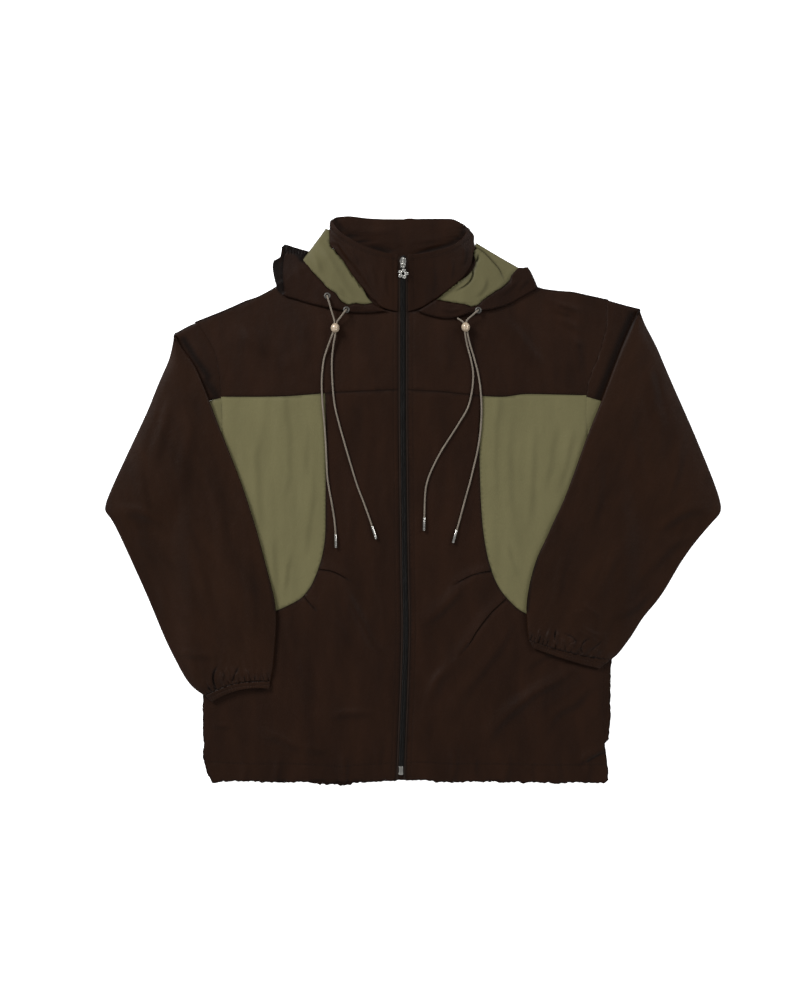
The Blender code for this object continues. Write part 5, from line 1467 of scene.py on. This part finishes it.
def outer_skin(node, place, way):
    """The node's outer skin, without its hollow and without the ring at its open end, which faces the way."""
    form = merged(node)
    place, way = Vector(place) * MM, Vector(way).normalized()
    ring = [f for f in form.faces
            if f.normal.dot(way) > 0.7 and abs(f.normal.z) < 0.5
            and (f.calc_center_median() - place).length < 70 * MM]
    bmesh.ops.delete(form, geom=ring, context="FACES")
    left = set(form.faces)
    found = []
    while left:
        start = left.pop()
        part, edge = {start}, [start]
        while edge:
            face = edge.pop()
            for side in face.edges:
                for other in side.link_faces:
                    if other in left:
                        left.discard(other)
                        part.add(other)
                        edge.append(other)
        found.append(part)
    found.sort(key=lambda part: -sum(f.calc_area() for f in part))
    bmesh.ops.delete(form, geom=[f for part in found[1:] for f in part], context="FACES")
    return form


def coordinates(mesh):
    points = np.empty(len(mesh.vertices) * 3)
    mesh.vertices.foreach_get("co", points)
    return points.reshape(-1, 3)


def move_to(mesh, points):
    mesh.vertices.foreach_set("co", points.ravel())
    mesh.update()


def crease(mesh, sharpness):
    """Marks the form's folded edges; sharpness tells how sharp an edge at a place is."""
    form = bmesh.new()
    form.from_mesh(mesh)
    layer = form.edges.layers.float.get("crease_edge") or form.edges.layers.float.new("crease_edge")
    for edge in form.edges:
        if len(edge.link_faces) == 2 and edge.calc_face_angle() > math.radians(48):
            edge[layer] = sharpness((edge.verts[0].co + edge.verts[1].co) / 2 / MM)
    form.to_mesh(mesh)
    form.free()


def refined(name, form, levels, finish, sharpness=None):
    """The form with its quads restored, rounded by subdivision through its own points."""
    bmesh.ops.join_triangles(
        form, faces=form.faces, cmp_seam=False, cmp_sharp=False, cmp_uvs=False, cmp_vcols=False,
        cmp_materials=False, angle_face_threshold=math.radians(60), angle_shape_threshold=math.radians(80),
    )
    mesh = bpy.data.meshes.new(name)
    form.to_mesh(mesh)
    form.free()
    if sharpness:
        crease(mesh, sharpness)
    piece = bpy.data.objects.new(name, mesh)
    bpy.context.scene.collection.objects.link(piece)
    bpy.context.view_layer.objects.active = piece
    rounded = piece.modifiers.new("rounded", "SUBSURF")
    rounded.levels = rounded.render_levels = 1
    wanted = coordinates(mesh)
    cage = wanted.copy()
    for _ in range(3):
        bpy.context.view_layer.update()
        found = piece.evaluated_get(bpy.context.evaluated_depsgraph_get()).to_mesh()
        cage = cage + np.clip(0.8 * (wanted - coordinates(found)[: len(cage)]), -1.2 * MM, 1.2 * MM)
        move_to(mesh, cage)
    rounded.levels = rounded.render_levels = levels
    bpy.ops.object.modifier_apply(modifier="rounded")
    points = coordinates(mesh)
    points[:, 2] = np.maximum(points[:, 2], 0.05 * MM)
    move_to(mesh, points)
    return dress(piece, finish)


def settled(piece, node, rounds=6):
    """Draws a rounded piece back onto its node's form, evenly, so that its outline stays true."""
    tree = BVHTree.FromBMesh(merged(node))
    points = coordinates(piece.data)
    away = np.array([tree.find_nearest(Vector(p))[0] for p in points]) - points
    sides = np.empty(len(piece.data.edges) * 2, dtype=np.int64)
    piece.data.edges.foreach_get("vertices", sides)
    for axis in range(3):
        away[:, axis] = relaxed(away[:, axis], sides.reshape(-1, 2), rounds)
    move_to(piece.data, points + away)


SLEEVE_WALL = 0.5 * MM
# Painted shade along each sleeve's inner fold
EDGE_SHADE = {"left": 0.4, "right": 0.8}
SEAM_DIP, SEAM_LAP = 2.0 * MM, 1.4 * MM


def walled(piece, thick):
    """Gives an open skin its wall, on the inner side."""
    bpy.context.view_layer.objects.active = piece
    wall = piece.modifiers.new("wall", "SOLIDIFY")
    wall.thickness = thick
    wall.offset = -1
    bpy.ops.object.modifier_apply(modifier="wall")


def lifted(piece, lift):
    """Moves each point of a piece that faces up along its normal; lift(places) gives how far, and the painted
    shade there. Returns the painted shade, as much as each point faces up."""
    mesh = piece.data
    points = coordinates(mesh)
    normals = np.empty(len(points) * 3)
    mesh.vertex_normals.foreach_get("vector", normals)
    normals = normals.reshape(-1, 3)
    facing = smooth(normals[:, 2:3] / 0.6)
    height, dark = lift(points[:, :2] / MM)
    points += normals * facing * height[:, None]
    over = facing[:, 0] > 0.5
    points[over, 2] = np.maximum(points[over, 2], 0.8 * MM)
    move_to(mesh, points)
    return dark * facing[:, 0]


LEFT_SLEEVE_FOLDS = table("""
    -326,150 -338,96 -356,40 | 16 12 1.2
    -300,130 -306,60 -322,-10 | 18 16 1.0
    -372,60 -366,10 -352,-40 | 12 14 1.0
    -404,-8 -366,-16 -322,-40 | 12 16 1.3
    -398,-30 -356,-58 -318,-104 | 14 12 1.1
    -276,60 -262,-20 -256,-90 | 16 14 0.9
    -352,-100 -330,-140 -296,-170 | 12 14 1.0
    -300,-60 -280,-130 -262,-190 | 16 14 0.9
    -226,-60 -220,-130 -214,-190 | 12 12 0.9
    -330,-196 -300,-206 -262,-210 | 9 10 0.9
""")

RIGHT_SLEEVE_FOLDS = table("""
    312,200 322,140 338,84 | 14 14 1.1
    290,150 292,80 306,10 | 18 16 1.0
    360,96 352,40 340,-10 | 12 14 1.0
    404,-4 360,-16 318,-48 | 14 12 1.3
    386,-44 346,-62 300,-108 | 14 12 1.1
    250,70 244,0 236,-60 | 14 14 0.9
    330,-110 300,-140 262,-160 | 12 12 1.0
    280,-50 254,-110 232,-150 | 16 14 0.9
    206,-60 196,-110 190,-146 | 12 12 0.8
    222,-136 238,-146 250,-158 | 4 6 1.0
""")

# Gathers above each cuff: share along it, reach up the sleeve, half width, height, lean
GATHERS_LEFT = path("""
    0.035,7,1.5,-0.8,0 0.1,9,1.7,-0.9,1 0.155,8,1.5,-0.7,0 0.23,10,1.8,-1.0,-1 0.285,8,1.5,-0.7,1 0.36,11,1.8,-1.0,2
    0.43,6,1.4,-1.0,3 0.475,5,1.3,-1.2,2 0.585,7,1.5,-1.4,2 0.625,5,1.3,-1.2,3 0.795,8,1.6,-1.2,4 0.85,10,1.7,-1.5,6
    0.925,7,1.5,-1.0,3
""")
PUFFS_LEFT = path("""
    0.32,22,3.5,1.0,2 0.46,26,4.0,1.2,6 0.58,30,4.0,1.4,-2 0.67,24,4.0,1.4,-2 0.83,24,4.0,1.2,8 0.19,20,3.5,0.8,0
    0.07,18,3.5,0.7,0
""")
CREASES_LEFT = table("""
    -261,-220 -267.5,-230 -269,-243 -264.5,-257 | 1.7 3.0 -2.4
    -233.5,-221 -240,-233 -245.5,-248 | 2.4 1.6 -1.7
    -258,-226 -254,-236 -256,-246 | 2.0 1.6 -0.8
    -282,-240 -276,-250 -274,-260 | 1.8 1.6 -1.0
""")
GATHERS_RIGHT = path("""
    0.03,13,1.4,-1.1,0 0.075,9,1.4,-0.9,0 0.125,14,1.6,-1.2,1 0.18,9,1.5,-1.0,0 0.225,11,1.6,-1.1,1
    0.335,8,1.5,-1.0,-1 0.4,6,1.4,-0.8,0 0.46,9,1.5,-0.9,-3 0.53,6,1.4,-0.8,-2 0.62,7,1.5,-0.8,-4 0.7,5,1.4,-0.7,-3
    0.8,6,1.4,-0.8,-3 0.91,6,1.4,-0.7,-2
""")
PUFFS_RIGHT = path("""
    0.1,24,3.5,1.1,0 0.2,26,4.0,1.2,2 0.31,28,4.0,1.4,0 0.43,22,4.0,1.0,-8 0.57,22,4.0,1.0,-14 0.7,18,3.5,0.9,-12
    0.86,14,3.5,0.8,-10
""")
CREASES_RIGHT = table("""
    191.5,-171 190.5,-183 191.5,-194 | 1.6 2.6 -2.0
    239,-209 226,-203 229,-190 247,-182.5 | 1.8 1.5 -1.2
    234,-205 246,-196 257,-185 | 1.6 1.8 -1.1
    197,-177.5 210,-181.5 219,-190 216,-199 | 1.8 1.6 -1.1
    206,-196 213,-190 224,-188 | 1.5 1.7 -0.8
    214,-178 224,-176 240,-184 252,-192 | 2.4 4.5 1.4
    222,-166 236,-176 250,-181 262,-181 | 2.6 5 1.2
    206,-160 214,-152 228,-150 244,-158 | 4 3 0.9
""")
CUFF_SEAMS = {
    "left": path("-191.9,-242.5 -212,-243.2 -238.7,-245.2 -262,-253 -282,-263"),
    "right": path("153.6,-187.0 180,-195 209.6,-203.2 240,-209.5 266.5,-214.2"),
}


SLEEVE_EDGES = {
    "left": path("-319,222 -302,203 -258.5,125 -241,82 -220.7,14 -204.5,-53 -191,-121 -187,-145"),
    "right": path("303,256 281.5,214 257,156 246,133 218,68 181.6,-26 157,-107 153,-148"),
}


def gathers_on(seam, gathers, way):
    """Lines from the cuff seam up the sleeve, as folds that start at the seam."""
    line = curved(seam, 2)
    total = length_of(line)
    found = []
    for share, reach, half, height, lean in gathers:
        run, i = share * total, 0
        while i < len(line) - 2 and run > (line[i + 1] - line[i]).length:
            run -= (line[i + 1] - line[i]).length
            i += 1
        along = (line[i + 1] - line[i]).normalized()
        up = Vector((-along.y, along.x)) * way
        start = line[i] + along * run - up * 2
        found.append(([start, start + up * reach * 0.5 + along * lean * 0.4, start + up * reach + along * lean],
                      half, half, height, 1))
    return found


def make_sleeve_cloth(side, end, folds, fine, seed):
    """A sleeve with its folds, the gathers at its cuff seam, and painted shade in its gathers, on its folds' far
    sides, at its cuff seam and along its inner fold; end is the middle of its open end and the way that end faces."""
    piece = refined(f"sleeve_cloth_{side}", outer_skin(f"sleeve_{side}", *end), 3, f"{side} sleeve nylon")

    def lift(places):
        soft = fold_field(warped(places, seed), folds) + ripples(places, seed, 0.8)
        small = fold_field(warped(places, seed, 0.5, 14), fine)
        # Painted shade in the gathers' valleys and on the folds' far sides
        dark = np.clip(-small / (1.5 * MM), 0, 0.9) + FOLD_SHADE * shaded_side(warped(places, seed), folds)
        return soft + small, dark

    dark = lifted(piece, lift)
    points = coordinates(piece.data)
    # Painted shade along the sleeve's inner fold
    close, near, *_ = along_line(points[:, :2] / MM, SLEEVE_EDGES[side], 5)
    dark[close] += EDGE_SHADE[side] * (1 - smooth(near / 4.5))
    # Painted shade along the cuff seam, and the seam's dip and lap
    close, near, *_ = along_line(points[:, :2] / MM, curved(CUFF_SEAMS[side], 3), 16)
    dark[close] += 0.75 * (1 - smooth(near / 2.2))
    part = points[close]
    part[:, 2] -= SEAM_DIP * smooth(1 - near / 13) * smooth((part[:, 2] - 5 * MM) / (3 * MM))
    down = Vector(end[1][:2]).normalized()
    part[:, :2] += np.array(down) * (SEAM_LAP * smooth(1 - near / 4))[:, None]
    points[close] = part
    points[:, 2] = np.maximum(points[:, 2], 0.1 * MM)
    move_to(piece.data, points)
    paint_shade(piece, dark)
    walled(piece, SLEEVE_WALL)
    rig.replaces(piece, f"sleeve_{side}")
    parts[f"sleeve_{side}"] = piece


fine_left = gathers_on(CUFF_SEAMS["left"], GATHERS_LEFT + PUFFS_LEFT, -1) + CREASES_LEFT
fine_right = gathers_on(CUFF_SEAMS["right"], GATHERS_RIGHT + PUFFS_RIGHT, 1) + CREASES_RIGHT
make_sleeve_cloth("left", ((-237, -252, 9), (0.2, -1, 0)), LEFT_SLEEVE_FOLDS, fine_left, 101.0)
make_sleeve_cloth("right", ((210, -200, 9), (-0.2, -1, 0)), RIGHT_SLEEVE_FOLDS, fine_right, 131.0)

CUFF_LINES = {
    "left": path("-193.1,-247.5 -213,-248.5 -239,-251 -259,-258 -277,-267"),
    "right": path("157,-192 182,-200.5 208,-208 234,-214.5 258,-219.5"),
}


def make_cuff_cloth(side):
    """The cuff's band, with the small ribs that its elastic draws in and its sewn line, and painted shade between the
    ribs, along its sewn line and along its seam.
    """
    piece = refined(f"cuff_cloth_{side}", merged(f"cuff_{side}"), 3, f"{side} sleeve nylon")
    line, seam = curved(CUFF_LINES[side], 3), curved(CUFF_SEAMS[side], 3)

    def lift(places):
        close, near, _, run, _ = along_line(places, line, 30)
        found, dark = np.zeros(len(places)), np.zeros(len(places))
        ribs = np.sin(run * 1.75 + 1.3 * np.sin(run * 0.31)) * (0.6 + 0.4 * np.sin(run * 0.23 + 2))
        found[close] = 0.28 * ribs * smooth(near / 1.6) - 0.35 * hump(near / 1.8)
        dark[close] = 0.3 * np.clip(-ribs, 0, 1) + 0.25 * hump(near / 1.4)
        close, near, *_ = along_line(places, seam, 4)
        found[close] -= 0.7 * hump(near / 2)
        dark[close] += 0.85 * hump(near / 1.7)
        return found * MM, dark

    keep(piece, f"cuff_{side}", lifted(piece, lift))


make_cuff_cloth("left")
make_cuff_cloth("right")

COLLAR_FOLDS = table("""
    -104,350 -92,334 -82,316 | 4 6 0.9
    -90,344 -80,330 -74,312 | 3 5 0.7
    -78,318 -66,306 -58,290 | 5 5 0.7
    -60,322 -54,304 -48,284 | 6 6 0.6
    -40,316 -38,292 -34,268 | 5 6 0.6
    22,322 26,302 24,276 | 6 6 0.6
    48,330 52,314 50,296 | 5 5 0.7
    66,346 70,332 66,314 | 4 5 0.8
    40,356 20,350 0,350 | 6 8 0.7
    -30,364 -50,362 -70,366 | 6 8 0.7
    -86,372 -70,360 -50,352 | 5 8 0.6
""")
COLLAR_CORNERS = (((-112, 382), 8, (2.0, -2.0)), ((76, 368), 9, (-1.2, -1.0)), ((80, 356), 10, (2.0, 1.0)))
COLLAR_MIDDLE = -14.2
COLLAR_FRONT_EDGE = ((-108, 336), (-58, 268))
COLLAR_TOP_LEFT = path("-20.7,327.8 -38,331.5 -63,339.5 -86,351.5 -101,363 -110.5,377")
COLLAR_TOP_RIGHT = path("-7.7,327.8 11,330 36,335.5 54,342.5 67,353 74,366")
collar_edge = [beside(even(COLLAR_TOP_LEFT), 6), beside(even(COLLAR_TOP_RIGHT), -6)]


# Lift and painted shade of the collar: its sewn lines, the hollows inside its mouth and the far sides of its folds
def collar_lift(places):
    sewn = [(line, 1.9, -0.3) for line in (placket_left, placket_right, *collar_edge)]
    # Hollows inside the collar's mouth, with painted shade in them
    sewn += [(beside(even(COLLAR_TOP_RIGHT[1:]), 5.5), 4.5, -3.0), (beside(even(COLLAR_TOP_LEFT[1:]), -5), 4, -1.6)]
    grooves, dark = line_field(places, sewn)
    moved = warped(places, 61.0, 2)
    dark = dark + FOLD_SHADE * shaded_side(moved, COLLAR_FOLDS)
    return fold_field(moved, COLLAR_FOLDS) + ripples(places, 61.0, 0.5) + grooves, dark


def make_collar():
    """The collar, sharp at its front fold, with its corners and its left front edge drawn in."""
    collar = refined("collar_cloth", merged("collar"), 3, "dark nylon",
                     lambda p: 1.0 if abs(p.x - COLLAR_MIDDLE) < 14 else 0.3)
    settled(collar, "collar")
    points = coordinates(collar.data)
    for spot, reach, way in COLLAR_CORNERS:
        near = np.linalg.norm(points[:, :2] / MM - spot, axis=1)
        points[:, :2] += np.array(way) * MM * smooth(1 - near / reach)[:, None]
    close, near, *_ = along_line(points[:, :2] / MM, COLLAR_FRONT_EDGE, 13)
    points[close, :2] += np.array(COLLAR_PUSH["left"]) * MM * smooth((13 - near) / 9)[:, None]
    move_to(collar.data, points)
    keep(collar, "collar", lifted(collar, collar_lift))


make_collar()

# Zip coil


def repeated(name, shape, spots, finish):
    """One mesh of many copies of a small shape, each at its place, with its own three directions."""
    points, faces = shape
    all_points, all_faces = [], []
    for place, along, across, up in spots:
        first = len(all_points)
        all_points += [place + along * p[0] + across * p[1] + up * p[2] for p in points]
        all_faces += [tuple(first + i for i in face) for face in faces]
    return piece_from(name, all_points, all_faces, finish)


def capsule(half, radius, sides=6):
    """A short round rod along its first direction, in metres."""
    points = []
    for x, r in ((-half, 0.55), (-half + 0.6 * radius, 1), (half - 0.6 * radius, 1), (half, 0.55)):
        for k in range(sides):
            turn = math.tau * (k + 0.5) / sides
            points.append((x, radius * r * math.cos(turn), radius * r * math.sin(turn)))
    return points, tube_faces(4, sides)


TOOTH_PITCH, TOOTH_OUT, TOOTH_HALF, TOOTH_RADIUS = 1.3, 1.55, 1.65, 0.52
CORE_SECTION = ((-3.15, -1.9), (3.15, -1.9), (3.15, -0.75), (-3.15, -0.75))


def make_coil():
    line = even(ZIP_LINE[:-2] + [(-16.8, -362)], TOOTH_PITCH)
    top = heights_on(skin_of("zip_chain"), np.array([p[:] for p in line]) * MM)
    top = np.convolve(np.pad(top, 6, mode="edge"), np.ones(13) / 13, "valid")
    spots, core = [], []
    for i, (here, z) in enumerate(zip(line, top)):
        before, after = max(i - 1, 0), min(i + 1, len(line) - 1)
        along = Vector((*(line[after] - line[before]), top[after] / MM - top[before] / MM)).normalized()
        across = Vector((along.y, -along.x, 0)).normalized()
        up = across.cross(along).normalized()
        place = Vector((here.x * MM, here.y * MM, z))
        for s in (-1, 1):
            lead = along * (TOOTH_PITCH / 2 * MM if s > 0 else 0)
            spots.append((place + lead + across * s * TOOTH_OUT * MM - up * 0.5 * MM,
                          (across * s + along * 0.12).normalized(), along, up))
        core += [place + across * x * MM + up * drop * MM for x, drop in CORE_SECTION]
    strip = piece_from("zip_core_tape", core, tube_faces(len(line), 4), "zip coil", smooth_angle=40)
    teeth = repeated("zip_coil_teeth", capsule(TOOTH_HALF * MM, TOOTH_RADIUS * MM), spots, "zip coil")
    coil = joined("zip_coil", [teeth, strip])
    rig.ride(coil, "jacket")
    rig.replaces(coil, "zip_chain")


make_coil()

# Eyelets and zip box

for node in ("eyelet_left_outer", "eyelet_left_inner", "eyelet_right"):
    eyelet = refined(f"{node}_metal", merged(node), 2, "grey metal")
    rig.replaces(eyelet, node)


def make_zip_box():
    low, high = (Vector(c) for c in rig.box("zip_box"))
    size, middle = (high - low) / MM, (high + low) / 2 / MM
    body = added(bpy.ops.mesh.primitive_cube_add, size=1 * MM)
    stretched(body, size)
    bevelled(body, 0.7)
    rail = ball(1, (0.55, size.y * 0.4, 0.35), (0, 0, size.z / 2), 16, 10)
    ends = [ball(1, (size.x * 0.42, 0.55, 0.3), (0, y, size.z / 2), 16, 10) for y in (-4.2, 4.2)]
    made = joined("zip_box_cast", [body, rail, *ends])
    put(made, middle, (0, 0, 0))
    finished(made, "zip_box")


make_zip_box()

# Stitches

STITCH, STITCH_PITCH, THREAD = 2.2, 3.0, 0.24
# A stitch is left out where cloth lies over it, or where it would climb a step
MOST_COVER, MOST_CLIMB = 0.35 * MM, 1.5 * MM


def tree_of(*pieces):
    form = bmesh.new()
    for piece in pieces:
        form.from_mesh(piece.data)
    return BVHTree.FromBMesh(form)


def paced(points, by):
    """A line's points one stitch pitch apart, moved to its left."""
    line = beside(curved(points, 1.0), by)
    found, run = [line[0]], 0.0
    for a, b in zip(line, line[1:]):
        run += (b - a).length
        if run >= STITCH_PITCH:
            found.append(b)
            run = 0.0
    return found


def stitched(name, sewn, finish):
    """Thread along each node's sewn line, moved to its left by so much; left out where cloth covers it."""
    above = tree_of(*parts.values())
    spots = []
    for node, points, by in sewn:
        tree, line = tree_of(parts[node]), paced(points, by)
        for a, b in zip(line, line[1:]):
            ends = [below(tree, p.x * MM, p.y * MM) for p in (a, b)]
            over = below(above, (a.x + b.x) / 2 * MM, (a.y + b.y) / 2 * MM)
            if None in ends or over is None:
                continue
            middle = (ends[0] + ends[1]) / 2
            if over.z - middle.z > MOST_COVER or abs(ends[0].z - ends[1].z) > MOST_CLIMB:
                continue
            along = (ends[1] - ends[0]).normalized()
            across = Vector((along.y, -along.x, 0)).normalized()
            up = across.cross(along).normalized()
            spots.append((Vector((middle.x, middle.y, max(over.z, middle.z))) + up * 0.04 * MM, along, across, up))
    return repeated(name, capsule(STITCH / 2 * MM, THREAD * MM), spots, finish)


YOKE_LEFT = path("-258,140 -203,140 -165,141 -119,144.5 -72,147 -22,149")
YOKE_RIGHT = path("-6.5,149 42,146 92,141 123,140 150,143.5 191,143 231.5,142")
CHEST_LEFT = path("""
    -119,143 -118,82 -118.5,1 -119.5,-53 -127.5,-90 -140,-118 -152,-132 -172,-143 -190,-150.5 -234,-160
""")
CHEST_RIGHT = path("92,140 89,95 89,55 91,-5 95,-49 103,-88 115,-117 132,-138 153,-153 198,-165")
FACING_OUT_LEFT = path("-181,283 -173,275 -157,270 -141,265 -115,259 -99,256 -83,253 -59,252.5 -40,254.5")
FACING_OUT_RIGHT = path("166,285.5 146,273.5 128,263.5 106,257 88,254 58,246 39,245 20,249 10,254.5")
LINING_IN_LEFT = path("-149,322 -137,307 -118,288 -105,279.5 -83,267.5 -67,264")
LINING_IN_RIGHT = path("142,312.5 121,290 105,278 88,267 71,264 49,267")
placket_body = [p for p in ZIP_LINE if p[1] < 255]
placket_collar = [(-14.2, 327), (-14.2, 254)]

stitched("stitches_dark", [
    ("front_panel_left", placket_body[1:], -PLACKET), ("front_panel_right", placket_body[1:], PLACKET),
    ("yoke_left", placket_body[:2], -PLACKET), ("yoke_right", placket_body[:2], PLACKET),
    ("collar", placket_collar, -PLACKET), ("collar", placket_collar, PLACKET),
    ("collar", COLLAR_TOP_LEFT, 6), ("collar", COLLAR_TOP_RIGHT, -6),
    ("front_panel_left", HEM_LEFT, 0), ("front_panel_right", HEM_RIGHT, 0),
    ("yoke_left", YOKE_LEFT, 2), ("yoke_right", YOKE_RIGHT, 2),
    ("front_panel_left", CHEST_LEFT, 2.2), ("front_panel_right", CHEST_RIGHT, -2.2),
    ("front_panel_right", SIDE_RIGHT, -6), ("front_panel_right", SIDE_RIGHT, -9.5),
    ("hood_facing_left", FACING_OUT_LEFT, 3), ("hood_facing_right", FACING_OUT_RIGHT, -3),
    ("cuff_left", CUFF_LINES["left"], 0), ("cuff_right", CUFF_LINES["right"], 0),
], "thread")
stitched("stitches_olive", [
    ("hood_lining_left", LINING_IN_LEFT, 2.4), ("hood_lining_right", LINING_IN_RIGHT, -2.4),
], "olive thread")

# Sheets: the cut of what shows, in metres

for node, width, length, area, under, others in (
    ("back_panel", 0.58, 0.72, 0.365, "hood_shell_cloth", ()),
    ("hood_shell", 0.34, 0.25, 0.0712, "floor", ()),
    ("front_panel_left", 0.27, 0.53, 0.0912, "back_cloth", ("zip_tape_left",)),
    ("front_panel_right", 0.28, 0.53, 0.0920, "back_cloth", ("zip_tape_right",)),
    ("yoke_left", 0.27, 0.19, 0.0356, "back_cloth", ()),
    ("yoke_right", 0.27, 0.19, 0.0375, "back_cloth", ()),
    ("chest_panel_left", 0.17, 0.315, 0.0455, "back_cloth", ()),
    ("chest_panel_right", 0.18, 0.32, 0.0483, "back_cloth", ()),
    ("sleeve_head_left", 0.11, 0.13, 0.0074, "floor", ()),
    ("sleeve_head_right", 0.13, 0.17, 0.0117, "floor", ()),
    ("sleeve_inset_left", 0.15, 0.15, 0.0122, "floor", ()),
    ("sleeve_inset_right", 0.176, 0.15, 0.0148, "floor", ()),
    ("hood_lining_left", 0.13, 0.045, 0.0043, "hood_shell_cloth", ()),
    ("hood_lining_right", 0.12, 0.06, 0.0046, "hood_shell_cloth", ()),
    ("hood_facing_left", 0.18, 0.04, 0.0054, "yoke_cloth_left", ()),
    ("hood_facing_right", 0.17, 0.03, 0.0038, "yoke_cloth_right", ()),
    ("collar", 0.36, 0.072, 0.0240, "yoke_cloth_left", ()),
    ("sleeve_left", 0.40, 0.34, 0.130, "sleeve_head_cloth_left", ("cuff_left",)),
    ("sleeve_right", 0.40, 0.35, 0.136, "sleeve_head_cloth_right", ("cuff_right",)),
):
    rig.sheet(parts[node], flat=(width, length), held="laid", rests_on=[under], area=area,
             with_pieces=[parts[other] for other in others])

SLOTS = {
    "dark nylon": "dark_nylon", "facing nylon": "dark_nylon", "thread": "dark_nylon",
    "left sleeve nylon": "sleeve_nylon", "right sleeve nylon": "sleeve_nylon",
    "olive nylon": "olive_nylon", "lining nylon": "olive_nylon", "olive thread": "olive_nylon",
    "zip tape": "zip_tape", "zip coil": "zip_coil", "champagne": "silver", "grey metal": "grey_metal",
}
for piece in bpy.data.objects:
    finish = piece.active_material.name if piece.type == "MESH" and piece.active_material else None
    if finish in SLOTS and piece.name not in frame["nodes"]:
        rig.slot(piece, SLOTS[finish])

json.dump({"cad": [list(corner) for corner in cad_box], "visual": [list(corner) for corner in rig.bounds()]},
          open("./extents.json", "w"))
